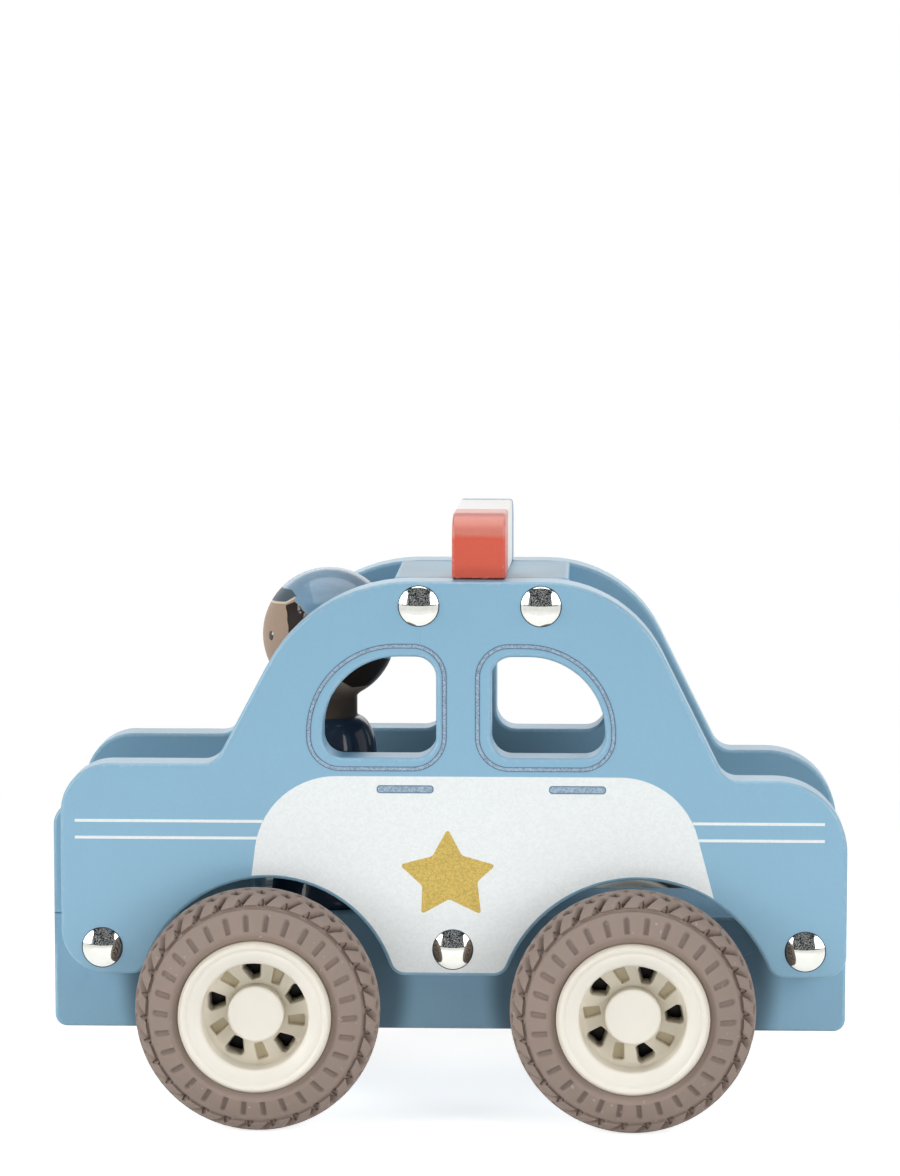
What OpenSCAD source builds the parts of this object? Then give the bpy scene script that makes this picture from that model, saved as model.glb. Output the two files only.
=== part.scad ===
// Wooden toy police car: two side panels nailed to a timber core that rolls on
// two steel axles, with a light bar on the roof and a peg driver that lifts out.
// Millimetres. +X is forward, +Y is the car's left side, +Z is up, and the
// origin is on the ground under the middle of the car.

/* [Timber core] */
// How much longer than the panels the chassis board is at each end
chassis_over = 1.5; // [0.8:0.1:4]
// Width of the core, which is the gap between the side panels
core_w = 35; // [32:0.5:45]
// Height of the chassis board
chassis_h = 24; // [20:0.5:28]
// Height of the front block on the chassis board
front_block_h = 23.5; // [16:0.5:30]
// Radius of the lower corners of the chassis board
chassis_corner_r = 2.5; // [0.5:0.1:4]
// Radius of the front top corner of the front block
front_block_r = 5; // [1:0.5:9]
// Length of the roof block
roof_block_l = 36; // [32:0.5:40]
// Thickness of the roof block
roof_block_h = 10; // [8:0.5:14]
// How far the middle of the roof block is behind the middle of the panels
roof_block_back = 5.5; // [4:0.1:7]

/* [Side panels] */
// Length of a side panel
panel_l = 162; // [156:0.5:164]
// Thickness of a side panel
panel_t = 9; // [6:0.5:12]
// How far a panel laps down over the side of the chassis board
panel_lap = 11; // [9:0.1:13]
// How far the panels sit behind the middle of the chassis
panel_setback = 1.15; // [0:0.05:1.5]
// Height of the bonnet edge over the panel's bottom edge
hood_h = 44; // [36:0.5:45]
// Height of the boot edge over the panel's bottom edge
boot_h = 41; // [36:0.5:44]
// Height of the roof edge over the panel's bottom edge
roof_h = 81.8; // [79:0.1:90]
// Length of the bonnet edge as a share of the panel's length
hood_share = 0.1975; // [0.15:0.0005:0.23]
// Length of the boot edge as a share of the panel's length
boot_share = 0.1556; // [0.14:0.0002:0.18]
// How far the windscreen edge leans back over its height
windscreen_rake = 20; // [12:0.5:24]
// How far the rear window edge leans forward over its height
rear_rake = 20.3; // [12:0.1:24]
// Radius from the windscreen edge to the roof
roof_front_r = 33.7; // [20:0.1:36]
// Radius from the roof to the rear window edge
roof_rear_r = 27; // [15:0.5:30]
// Radius of the nose over the bonnet end
nose_r = 10.3; // [4:0.1:16]
// Radius of the tail over the boot end
tail_r = 15; // [4:0.5:17]
// Radius of the hollow corners at the feet of the windscreen and rear window
cowl_r = 4.5; // [1:0.5:7]
// Radius of the front bottom corner
chin_r = 9.3; // [3:0.1:10]
// Radius of the rear bottom corner
heel_r = 4.6; // [1:0.1:8]

/* [Wheel arches] */
// Height of both arches over the panel's bottom edge
arch_rise = 20.2; // [14:0.2:24]
// Radius of the front arch as a share of the panel's length
front_arch_share = 0.163; // [0.15:0.0005:0.178]
// Radius of the rear arch as a share of the panel's length
rear_arch_share = 0.1765; // [0.155:0.0005:0.181]
// Radius of the corners where the arches meet the bottom edge
arch_foot_r = 3.6; // [1:0.1:5]

/* [Windows] */
// Width of each window as a share of the panel's length
window_share = 0.1444; // [0.09:0.0002:0.16]
// Height of each window
window_h = 20.9; // [16:0.1:24]
// Height of the window sills over the panel's bottom edge
sill_h = 45.4; // [45:0.1:48]
// Width of the post between the windows as a share of the panel's length
post_share = 0.0698; // [0.04:0.0002:0.1]
// How far the post is behind the middle of the panel
post_back = 2.2; // [0:0.1:4]
// Radius of the large corner of each window as a share of the window's width
window_big_share = 0.671; // [0.25:0.001:0.72]
// Radius of the other window corners
window_small_r = 4.3; // [1:0.1:6]

/* [Dome nails] */
// Diameter of a nail head
nail_head_d = 8.5; // [5:0.1:9.5]
// Height of a nail head
nail_head_h = 1.8; // [1.5:0.1:4]
// Diameter of a nail shank
nail_d = 2.4; // [1.6:0.1:3]
// How far a nail bites into the core
nail_bite = 13; // [8:0.5:15]
// Length of a nail's point
nail_point = 3; // [1:0.1:5]
// Distance of the end nails from the panel's ends
nail_inset = 8.5; // [6:0.1:9]
// Distance of the lower nails under the top of the chassis board
nail_drop = 5.4; // [4:0.1:6]
// Distance between the two roof nails
roof_nail_pitch = 25; // [16:0.5:26]

/* [Wheels] */
// Distance between the axles as a share of the panel's length
wheelbase_share = 0.4716; // [0.45:0.0002:0.49]
// Diameter of a tyre
tyre_d = 50; // [49:0.5:58]
// Diameter of the edge between a tyre's sidewall and its tread
shoulder_d = 43.2; // [39:0.2:45]
// Width of a tyre over its sidewalls
tyre_w = 17.4; // [15:0.2:17.8]
// Width of the sidewall edges that the tread lies between
shoulder_w = 12.8; // [10:0.2:14]
// Depth of the step from the sidewall edge down to the tread
tread_step = 0.8; // [0.3:0.1:1.2]
// Number of tread grooves and sidewall slots round a tyre
tread_count = 30; // [20:1:32]
// Width of a tread groove
groove_w = 1; // [0.6:0.1:1.4]
// Length of a tread groove
groove_l = 3.6; // [2:0.1:4.6]
// Depth of a tread groove
groove_deep = 1.1; // [0.5:0.1:2]
// Slant of the tread grooves in degrees
groove_slant = 35; // [0:1:60]
// Place of the grooves from the crown to the shoulder, as a share of that arc
groove_place = 0.7; // [0.5:0.01:0.75]
// Length of a sidewall slot
slot_l = 3.2; // [1.5:0.1:3.4]
// Width of a sidewall slot
slot_w = 1.1; // [0.5:0.05:1.6]
// Distance of the sidewall slots from the sidewall's outer edge
slot_inset = 0.9; // [0.8:0.05:1.4]
// Depth of a sidewall slot
slot_deep = 0.5; // [0.3:0.1:0.8]
// Width of a rim over both lips
rim_w = 20; // [19:0.2:24]
// Outer diameter of the rim lips
rim_d = 31; // [30:0.2:33]
// How far the lips fall off towards the tyre
lip_fall = 1.2; // [0.4:0.1:1.6]
// How far the lips slope in towards their opening
lip_dish = 0.9; // [0:0.1:1.4]
// Bevel round the opening in the lips
eye_bevel = 0.9; // [0.3:0.1:1.2]
// How far the sidewalls bulge past the rim's flanges
bead_depth = 0.7; // [0.4:0.1:1]
// Width of the rounded bead between the rim lip and the sidewall
bead_w = 1.9; // [1.2:0.1:2.4]
// Diameter of the rim's drum under the tyre
drum_d = 28; // [25:0.2:29]
// Diameter of the opening in the rim lips
eye_d = 21.8; // [20:0.2:23.4]
// Thickness of the spoked web
web_t = 4; // [2.5:0.1:5]
// How far the web sits towards the car from the middle of the rim
web_set = 2; // [0:0.1:3]
// Depth of the closed pockets in the web
pocket_deep = 1.8; // [0.8:0.1:2.2]
// Width of a closed pocket
pocket_w = 2.2; // [1.4:0.1:3]
// Width of a web opening at the drum
vent_w = 4.6; // [2:0.1:4.8]
// Width of a web opening at the hub
vent_tip_w = 1.5; // [0.4:0.1:1.6]
// Width of the plain ring of web round the hub cap
hub_ring = 0.9; // [0.8:0.1:1.8]
// Width of the plain ring of web inside the drum
drum_ring = 0.5; // [0.3:0.1:0.8]
// Sideways lean of the pockets and openings in degrees
spoke_lean = 14; // [0:1:16]
// Number of web openings, with a pocket between each two
spoke_pairs = 5; // [3:1:5]
// Diameter of a hub cap
cap_d = 11.4; // [9:0.1:12]
// Height of a hub cap
cap_h = 4; // [3:0.1:5.5]
// Gap between a panel and the wheel beside it
wheel_gap = 2.4; // [1:0.1:5]
// Turn of the front wheels' spokes at rest in degrees
front_phase = 95; // [0:1:360]
// Turn of the rear wheels' spokes at rest in degrees
rear_phase = 70; // [0:1:360]

/* [Axles] */
// Diameter of an axle
axle_d = 4; // [3:0.1:5]
// Height of the axles over the chassis underside
axle_up = 8.5; // [6:0.1:10]
// Outer diameter of a wheel spacer
spacer_d = 8; // [6.5:0.1:10]
// Wall that the rim's inner boss has round the spacer's outline
boss_wall = 1.5; // [0.5:0.1:2.5]
// Depth of the blind hole in a hub cap
cap_bore = 2.6; // [1.5:0.1:2.8]

/* [Light bar] */
// Length of the light bar across the car
bar_l = 44; // [36:0.5:52]
// Width of the light bar along the car
bar_w = 11; // [8:0.5:16]
// Height of the light bar
bar_h = 13.4; // [10:0.2:18]
// Radius of the light bar's top end corners
bar_r = 5.5; // [1:0.5:8]

/* [Driver] */
// Height of the driver over the chassis board
driver_h = 71; // [69:0.5:80]
// Diameter of the head
head_d = 28; // [24:0.2:29]
// Diameter of the neck
neck_d = 11.8; // [8:0.2:16]
// Height of the shoulders over the chassis board
shoulder_h = 39.6; // [34:0.2:41]
// Diameter at the shoulders
chest_d = 20; // [17:0.2:21]
// Depth of the rounded shoulders
shoulder_fall = 8.4; // [4:0.2:9]
// Diameter of the body's foot
foot_d = 25; // [22:0.2:27]
// Height of the straight edge round the foot
foot_edge = 1.5; // [0.5:0.1:4]
// Diameter of the peg under the foot
peg_d = 16; // [10:0.2:18]
// Length of the peg
peg_l = 9; // [6:0.2:12]

/* [Dowels] */
// Diameter of the dowels in the front block
block_dowel_d = 6; // [4:0.2:8]
// Distance between the dowels in the front block
block_dowel_pitch = 12; // [10:0.5:16]
// Diameter of the dowels in the light bar
bar_dowel_d = 5; // [3:0.2:6]
// Distance between the dowels in the light bar
bar_dowel_pitch = 22; // [14:0.5:24]
// How far a dowel goes into each piece
dowel_bite = 6; // [4:0.2:7]

/* [Clearances] */
// Radial clearance of an axle in the chassis
axle_play = 0.08; // [0.04:0.01:0.1]
// Radial clearance of a fixed pin in its hole
fixed_play = 0.03; // [0.02:0.01:0.05]
// Radial clearance of a nail in a panel
nail_play = 0.05; // [0.03:0.01:0.1]
// Radial clearance of the driver's peg in its socket
peg_play = 0.3; // [0.1:0.05:0.5]
// Clearance between the head and the roof block as the driver lifts out
head_play = 0.5; // [0.4:0.1:1.5]
// Clearance between the driver's foot and the front block
foot_play = 2.4; // [1:0.1:4]
// End play between a wheel spacer and the chassis
axle_float = 0.4; // [0.2:0.1:1]
// Depth that a blind hole has beyond its pin
hole_spare = 0.6; // [0.2:0.1:1]

/* [Colours] */
// Colour of the painted timber
car_blue = "#8fb8d2";
// Colour of the tyres
tyre_colour = "#938279";
// Colour of the rims and hub caps
rim_colour = "#f0e9dd";
// Colour of the axles and nails
steel_colour = "#c8ccd0";
// Colour of bare timber
timber_colour = "#d8bd93";
// Colour of the light bar
lamp_colour = "#de6550";
// Colour of the driver
driver_colour = "#23324b";

/* [Hidden] */
$fn = 72;

// Angle between the points of a drawn round
round_step = 5;
// Extra length of a cut past the face it opens on
cut_past = 1;

// Heights
axle_z = tyre_d / 2;
chassis_z0 = axle_z - axle_up;
chassis_z1 = chassis_z0 + chassis_h;
panel_z0 = chassis_z1 - panel_lap;
roof_z = panel_z0 + roof_h;
nail_z = chassis_z1 - nail_drop;
roof_nail_z = roof_z - roof_block_h / 2;

// Places across the car
panel_y = core_w / 2 + panel_t;
wheel_y = panel_y + wheel_gap + rim_w / 2;

// Lengths that follow the panels
chassis_l = panel_l + 2 * chassis_over;
hood_l = panel_l * hood_share;
boot_l = panel_l * boot_share;
front_arch_r = panel_l * front_arch_share;
rear_arch_r = panel_l * rear_arch_share;
window_w = panel_l * window_share;
window_big_r = window_w * window_big_share;
post_w = panel_l * post_share;
wheelbase = panel_l * wheelbase_share;

// Places along the car
panel_front = panel_l / 2 - panel_setback;
panel_rear = -panel_l / 2 - panel_setback;
roof_x = -roof_block_back - panel_setback;
front_axle_x = wheelbase / 2;
rear_axle_x = -wheelbase / 2;
driver_x = roof_x + roof_block_l / 2 + head_play + head_d / 2;
block_rear = driver_x + foot_d / 2 + foot_play;
block_dowel_x = (block_rear + chassis_l / 2) / 2;
roof_nail_xs = [roof_x + roof_nail_pitch / 2, roof_x - roof_nail_pitch / 2];
sill_nail_xs = [panel_front - nail_inset, -panel_setback, panel_rear + nail_inset];

// Wheel, measured along its axis from the middle of the rim
lip_z = rim_w / 2;
flange_z = tyre_w / 2 - bead_depth;
boss_d = spacer_d + 2 * boss_wall;
web_top = web_t - web_set;
vent_r0 = cap_d / 2 + hub_ring;
vent_r1 = eye_d / 2 - drum_ring;

function unit(v) = v / norm(v);

function arc(c, r, a0, a1) =
    let (n = max(2, ceil(abs(a1 - a0) / round_step)))
    [for (i = [0 : n]) c + r * [cos(a0 + (a1 - a0) * i / n), sin(a0 + (a1 - a0) * i / n)]];

// Points of the round of radius r in the corner at q between p and s
function corner(p, q, s, r) =
    let (
        u = unit(p - q),
        v = unit(s - q),
        half = acos(u * v) / 2,
        c = q + unit(u + v) * r / sin(half),
        a = q + u * r / tan(half) - c,
        b = q + v * r / tan(half) - c,
        a0 = atan2(a.y, a.x)
    )
    arc(c, r, a0, a0 + atan2(a.x * b.y - a.y * b.x, a * b));

function flat(k) = [k.x, k.y];

// Points for corner i of the list k, each corner being [x, z, radius]
function turn(k, i) =
    let (n = len(k), q = k[i])
    q.z > 0 ? corner(flat(k[(i + n - 1) % n]), flat(q), flat(k[(i + 1) % n]), q.z) : [flat(q)];

function rounded(k) = [for (i = [0 : len(k) - 1]) each turn(k, i)];

// Points of a wheel arch over x, from the rear foot to the front foot
function arch(x, r) =
    let (
        z = panel_z0 + arch_rise - r,
        foot_z = panel_z0 + arch_foot_r,
        reach = sqrt(pow(r + arch_foot_r, 2) - pow(foot_z - z, 2)),
        a = atan2(z - foot_z, reach)
    )
    concat(
        arc([x - reach, foot_z], arch_foot_r, -90, a),
        arc([x, z], r, 180 + a, -a),
        arc([x + reach, foot_z], arch_foot_r, 180 - a, 270));

// Corners of a side panel, starting at the rear bottom corner
panel_corners = [
    [panel_rear, panel_z0, heel_r],
    [panel_front, panel_z0, chin_r],
    [panel_front, panel_z0 + hood_h, nose_r],
    [panel_front - hood_l, panel_z0 + hood_h, cowl_r],
    [panel_front - hood_l - windscreen_rake, roof_z, roof_front_r],
    [panel_rear + boot_l + rear_rake, roof_z, roof_rear_r],
    [panel_rear + boot_l, panel_z0 + boot_h, cowl_r],
    [panel_rear, panel_z0 + boot_h, tail_r]];

panel_outline = concat(
    turn(panel_corners, 0),
    arch(rear_axle_x - panel_setback, rear_arch_r),
    arch(front_axle_x - panel_setback, front_arch_r),
    [for (i = [1 : len(panel_corners) - 1]) each turn(panel_corners, i)]);

// Corners of a window of which the post side is at x = 0
window_outline = rounded([
    [0, 0, window_small_r],
    [window_w, 0, window_small_r],
    [window_w, window_h, window_big_r],
    [0, window_h, window_small_r]]);

module side_panel() {
    post_x = -post_back - panel_setback;
    color(car_blue)
    difference() {
        translate([0, panel_y, 0])
        rotate([90, 0, 0])
        linear_extrude(panel_t)
        difference() {
            polygon(panel_outline);
            for (side = [0, 1])
                translate([post_x, panel_z0 + sill_h])
                mirror([side, 0])
                translate([post_w / 2, 0])
                polygon(window_outline);
        }
        for (x = sill_nail_xs) panel_hole(x, nail_z);
        for (x = roof_nail_xs) panel_hole(x, roof_nail_z);
    }
}

module panel_hole(x, z) {
    translate([x, panel_y + cut_past, z])
    rotate([90, 0, 0])
    cylinder(d = nail_d + 2 * nail_play, h = panel_t + 2 * cut_past);
}

// Pilot hole for a nail, open at the side of the core
module pilot_hole(x, z, side) {
    translate([x, side * (core_w / 2 + cut_past), z])
    rotate([90 * side, 0, 0])
    cylinder(d = nail_d + 2 * fixed_play, h = nail_bite + hole_spare + cut_past);
}

module pilot_holes(xs, z) {
    for (x = xs, side = [-1, 1]) pilot_hole(x, z, side);
}

// Nail along Z with its head on the plane z = 0
module dome_nail() {
    dome_r = (pow(nail_head_d / 2, 2) + pow(nail_head_h, 2)) / (2 * nail_head_h);
    stem = panel_t + nail_bite - nail_point;
    rotate_extrude()
    intersection() {
        translate([0, nail_head_h - dome_r]) circle(dome_r);
        square([nail_head_d / 2, nail_head_h]);
    }
    translate([0, 0, -stem]) cylinder(d = nail_d, h = stem);
    translate([0, 0, -stem - nail_point]) cylinder(d1 = 0, d2 = nail_d, h = nail_point);
}

module nails(xs, z, side) {
    color(steel_colour)
    for (x = xs)
        translate([x, side * panel_y, z])
        rotate([-90 * side, 0, 0])
        dome_nail();
}

module core_profile(k) {
    translate([0, core_w / 2, 0])
    rotate([90, 0, 0])
    linear_extrude(core_w)
    polygon(rounded(k));
}

module chassis_board() {
    color(car_blue)
    difference() {
        core_profile([
            [-chassis_l / 2, chassis_z0, chassis_corner_r],
            [chassis_l / 2, chassis_z0, chassis_corner_r],
            [chassis_l / 2, chassis_z1, 0],
            [-chassis_l / 2, chassis_z1, 0]]);
        for (x = [front_axle_x, rear_axle_x])
            translate([x, core_w / 2 + cut_past, axle_z])
            rotate([90, 0, 0])
            cylinder(d = axle_d + 2 * axle_play, h = core_w + 2 * cut_past);
        pilot_holes(sill_nail_xs, nail_z);
        translate([driver_x, 0, chassis_z1 - peg_l - hole_spare])
        cylinder(d = peg_d + 2 * peg_play, h = peg_l + hole_spare + cut_past);
        block_dowels(fixed_play, hole_spare);
    }
}

module front_block() {
    color(car_blue)
    difference() {
        core_profile([
            [block_rear, chassis_z1, 0],
            [chassis_l / 2, chassis_z1, 0],
            [chassis_l / 2, chassis_z1 + front_block_h, front_block_r],
            [block_rear, chassis_z1 + front_block_h, 0]]);
        block_dowels(fixed_play, hole_spare);
    }
}

module roof_block() {
    color(car_blue)
    difference() {
        translate([roof_x - roof_block_l / 2, -core_w / 2, roof_z - roof_block_h])
        cube([roof_block_l, core_w, roof_block_h]);
        pilot_holes(roof_nail_xs, roof_nail_z);
        bar_dowels(fixed_play, hole_spare);
    }
}

module light_bar() {
    color(lamp_colour)
    difference() {
        translate([roof_x - bar_w / 2, 0, roof_z])
        rotate([90, 0, 90])
        linear_extrude(bar_w)
        polygon(rounded([
            [-bar_l / 2, 0, 0],
            [bar_l / 2, 0, 0],
            [bar_l / 2, bar_h, bar_r],
            [-bar_l / 2, bar_h, bar_r]]));
        bar_dowels(fixed_play, hole_spare);
    }
}

// Upright dowel through the joint at height z, larger by the play and longer by the spare
module dowel(d, z, play, spare) {
    translate([0, 0, z - dowel_bite - spare])
    cylinder(d = d + 2 * play, h = 2 * (dowel_bite + spare));
}

module block_dowels(play, spare) {
    for (side = [-1, 1])
        translate([block_dowel_x + side * block_dowel_pitch / 2, 0, 0])
        dowel(block_dowel_d, chassis_z1, play, spare);
}

module bar_dowels(play, spare) {
    for (side = [-1, 1])
        translate([roof_x, side * bar_dowel_pitch / 2, 0])
        dowel(bar_dowel_d, roof_z, play, spare);
}

module front_block_dowels() {
    color(timber_colour) block_dowels(0, 0);
}

module light_bar_dowels() {
    color(timber_colour) bar_dowels(0, 0);
}

module axle(x) {
    reach = wheel_y + web_top + cap_bore - hole_spare / 2;
    color(steel_colour)
    translate([x, reach, axle_z])
    rotate([90, 0, 0])
    cylinder(d = axle_d, h = 2 * reach);
}

module spacers(x) {
    inner = core_w / 2 + axle_float;
    length = wheel_y - lip_z - inner;
    color(rim_colour)
    for (side = [-1, 1])
        translate([x, side * inner, axle_z])
        rotate([-90 * side, 0, 0])
        difference() {
            cylinder(d = spacer_d, h = length);
            translate([0, 0, -cut_past])
            cylinder(d = axle_d + 2 * fixed_play, h = length + 2 * cut_past);
        }
}

// Puts a wheel piece on its axle, its Z axis pointing away from the car
module at_wheel(x, side, phase) {
    translate([x, side * wheel_y, axle_z])
    rotate([-90 * side, 0, 0])
    rotate([0, 0, side * (phase - 180)])
    children();
}

// Half of the rim section, from the middle of the drum out to the lip
rim_half = [
    [drum_d / 2, flange_z],
    [rim_d / 2, flange_z],
    [rim_d / 2, lip_z - lip_fall],
    [(rim_d + eye_d) / 4 + eye_bevel, lip_z],
    [eye_d / 2 + eye_bevel, lip_z - lip_dish],
    [eye_d / 2, lip_z - lip_dish - eye_bevel]];

module rim() {
    color(rim_colour)
    difference() {
        union() {
            rotate_extrude()
            polygon(concat(rim_half, [for (i = [len(rim_half) - 1 : -1 : 0]) [rim_half[i].x, -rim_half[i].y]]));
            translate([0, 0, -web_set]) cylinder(d = (eye_d + drum_d) / 2, h = web_t);
            translate([0, 0, -lip_z]) cylinder(d = boss_d, h = lip_z + web_top - web_t / 2);
        }
        translate([0, 0, -lip_z - cut_past])
        cylinder(d = axle_d + 2 * fixed_play, h = lip_z + web_top + 2 * cut_past);
        for (i = [0 : spoke_pairs - 1]) {
            rotate(360 * i / spoke_pairs)
            translate([0, 0, -web_set - cut_past])
            linear_extrude(web_t + 2 * cut_past)
            web_opening(vent_tip_w, vent_w);
            rotate(360 * (i + 0.5) / spoke_pairs)
            translate([0, 0, web_top - pocket_deep])
            linear_extrude(pocket_deep + cut_past)
            web_opening(pocket_w, pocket_w);
        }
    }
}

// Leaning four-sided outline, w0 wide at the hub and w1 wide at the drum
module web_opening(w0, w1) {
    middle = (vent_r0 + vent_r1) / 2;
    translate([middle, 0])
    rotate(spoke_lean)
    translate([-middle, 0])
    polygon([[vent_r0, -w0 / 2], [vent_r1, -w1 / 2], [vent_r1, w1 / 2], [vent_r0, w0 / 2]]);
}

module hub_cap() {
    color(rim_colour)
    translate([0, 0, web_top])
    difference() {
        cylinder(d = cap_d, h = cap_h);
        translate([0, 0, -cut_past])
        cylinder(d = axle_d + 2 * fixed_play, h = cap_bore + cut_past);
    }
}

// Tread arc of the tyre section, from one shoulder to the other
tread_r = shoulder_d / 2 + tread_step;
tread_z = shoulder_w / 2 - tread_step;
crown_rise = tyre_d / 2 - tread_r;
crown_r = (pow(tread_z, 2) + pow(crown_rise, 2)) / (2 * crown_rise);
crown_a = asin(tread_z / crown_r);

// Widest part of the sidewall and its slope down to the shoulder
bulge_r = rim_d / 2 + bead_w;
wall_lean = atan2(tyre_w / 2 - shoulder_w / 2, shoulder_d / 2 - bulge_r);

tyre_half = [
    [drum_d / 2 + fixed_play, flange_z - fixed_play],
    [rim_d / 2 + bead_w / 6, flange_z - fixed_play],
    [rim_d / 2 + bead_w / 2, tyre_w / 2 - bead_depth / 5],
    [bulge_r, tyre_w / 2],
    [shoulder_d / 2, shoulder_w / 2],
    [shoulder_d / 2 + tread_step / 4, tread_z]];

module tyre() {
    slot_r = shoulder_d / 2 - slot_inset - slot_l / 2;
    slot_z = shoulder_w / 2 + (slot_inset + slot_l / 2) * tan(wall_lean);
    color(tyre_colour)
    difference() {
        rotate_extrude()
        polygon(concat(
            tyre_half,
            arc([tyre_d / 2 - crown_r, 0], crown_r, crown_a, -crown_a),
            [for (i = [len(tyre_half) - 1 : -1 : 0]) [tyre_half[i].x, -tyre_half[i].y]]));
        for (i = [0 : tread_count - 1], end = [0, 1])
            rotate(360 * (i + end / 2) / tread_count)
            mirror([0, 0, end]) {
                translate([slot_r, 0, slot_z])
                rotate([0, wall_lean, 0])
                cube([slot_l, slot_w, 2 * slot_deep], center = true);
                translate([tyre_d / 2 - crown_r, 0, 0])
                rotate([0, -crown_a * groove_place, 0])
                translate([crown_r, 0, 0])
                rotate([-groove_slant, 0, 0])
                cube([2 * groove_deep, groove_w, groove_l], center = true);
            }
    }
}

// Body curve from the foot to the neck, as [radius, height over the foot]
body_curve = concat(
    [[foot_d / 2, 0]],
    [for (i = [0 : 8]) let (t = i / 8) [
        foot_d / 2 + (chest_d - foot_d) / 2 * sin(90 * t),
        foot_edge + (shoulder_h - shoulder_fall - foot_edge) * t]],
    [for (a = [10 : 10 : 90]) [
        neck_d / 2 + (chest_d - neck_d) / 2 * cos(a),
        shoulder_h - shoulder_fall * (1 - sin(a))]]);

module driver() {
    head_z = driver_h - head_d / 2;
    color(driver_colour)
    translate([driver_x, 0, chassis_z1])
    union() {
        rotate_extrude() polygon(concat([[0, 0]], body_curve, [[0, shoulder_h]]));
        translate([0, 0, shoulder_h - cut_past]) cylinder(d = neck_d, h = head_z - shoulder_h + cut_past);
        translate([0, 0, head_z]) sphere(d = head_d);
        translate([0, 0, -peg_l]) cylinder(d = peg_d, h = peg_l + cut_past);
    }
}

chassis_board();
front_block();
side_panel();  // left_side_panel
mirror([0, 1, 0]) side_panel();  // right_side_panel
roof_block();
light_bar();
front_block_dowels();
light_bar_dowels();
nails(roof_nail_xs, roof_nail_z, 1);  // left_roof_nails
nails(sill_nail_xs, nail_z, 1);  // left_sill_nails
nails(roof_nail_xs, roof_nail_z, -1);  // right_roof_nails
nails(sill_nail_xs, nail_z, -1);  // right_sill_nails
axle(front_axle_x);  // front_axle
axle(rear_axle_x);  // rear_axle
spacers(front_axle_x);  // front_axle_spacers
spacers(rear_axle_x);  // rear_axle_spacers
at_wheel(front_axle_x, 1, front_phase) rim();  // front_left_rim
at_wheel(front_axle_x, -1, front_phase) rim();  // front_right_rim
at_wheel(rear_axle_x, 1, rear_phase) rim();  // rear_left_rim
at_wheel(rear_axle_x, -1, rear_phase) rim();  // rear_right_rim
at_wheel(front_axle_x, 1, front_phase) tyre();  // front_left_tyre
at_wheel(front_axle_x, -1, front_phase) tyre();  // front_right_tyre
at_wheel(rear_axle_x, 1, rear_phase) tyre();  // rear_left_tyre
at_wheel(rear_axle_x, -1, rear_phase) tyre();  // rear_right_tyre
at_wheel(front_axle_x, 1, front_phase) hub_cap();  // front_left_hub_cap
at_wheel(front_axle_x, -1, front_phase) hub_cap();  // front_right_hub_cap
at_wheel(rear_axle_x, 1, rear_phase) hub_cap();  // rear_left_hub_cap
at_wheel(rear_axle_x, -1, rear_phase) hub_cap();  // rear_right_hub_cap
driver();
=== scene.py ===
"""Dresses a packed wooden toy police car: painted timber, printed doors, soft tyres on
cream rims, dome nails, a light bar, a peg driver and a plain studio stage."""

import math

import bmesh
import bpy
from mathutils import Matrix, Vector
from mathutils.geometry import delaunay_2d_cdt


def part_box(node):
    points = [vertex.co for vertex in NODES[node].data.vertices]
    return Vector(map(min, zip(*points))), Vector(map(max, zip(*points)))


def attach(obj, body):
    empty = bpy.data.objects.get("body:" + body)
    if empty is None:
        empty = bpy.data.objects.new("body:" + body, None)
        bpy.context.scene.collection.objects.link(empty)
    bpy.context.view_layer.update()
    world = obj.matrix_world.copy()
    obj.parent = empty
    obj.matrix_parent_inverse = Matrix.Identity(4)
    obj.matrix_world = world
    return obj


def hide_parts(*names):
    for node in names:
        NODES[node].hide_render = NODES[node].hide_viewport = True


bl_info = {
    "name": "Wooden Toy Police Car",
    "version": (1, 0, 0),
    "blender": (4, 5, 0),
    "location": "3D View > Sidebar > Toy Car",
    "description": "Paint, prints, tyres, nails, driver and stage for the packed toy police car",
    "category": "Object",
}

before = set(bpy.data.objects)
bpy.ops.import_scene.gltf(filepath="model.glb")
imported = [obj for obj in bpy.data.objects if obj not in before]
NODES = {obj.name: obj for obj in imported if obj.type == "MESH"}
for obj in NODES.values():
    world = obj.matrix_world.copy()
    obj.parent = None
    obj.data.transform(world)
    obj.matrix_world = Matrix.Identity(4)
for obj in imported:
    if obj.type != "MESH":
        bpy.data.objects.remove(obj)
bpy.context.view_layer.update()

MM = 0.001
BODY = "car_body"
CORNERS = ("front_left", "front_right", "rear_left", "rear_right")
SPOKE_PHASE = {"front": 95, "rear": 70}
AXLE_Z = 25.0


def middle_x(name):
    low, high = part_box(name)
    return (low.x + high.x) / 2 / MM


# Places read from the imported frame, in millimetres
FACE_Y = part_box("left_side_panel")[1].y / MM
PANEL_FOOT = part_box("left_side_panel")[0].z / MM
PANEL_MID = middle_x("left_side_panel")
FRONT_AXLE, REAR_AXLE = middle_x("front_axle"), middle_x("rear_axle")
DRIVER_X, DRIVER_TOP = middle_x("driver"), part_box("driver")[1].z / MM
DRIVER_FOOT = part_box("chassis_board")[1].z / MM


def srgb(red, green, blue):
    """Linear colour of an 8-bit screen colour."""
    return tuple(((c / 255 + 0.055) / 1.055) ** 2.4 if c > 10 else c / 255 / 12.92 for c in (red, green, blue))


def shaded(tint, share):
    """Colour made darker or lighter by a share."""
    return tuple(min(c * share, 1.0) for c in tint)


def size(name, mm, text):
    return bpy.props.FloatProperty(
        name=name, description=text, default=mm * MM, min=0, precision=5, unit="LENGTH", subtype="DISTANCE"
    )


def angle(name, default, text):
    return bpy.props.FloatProperty(name=name, description=text, default=default, subtype="ANGLE")


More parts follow.
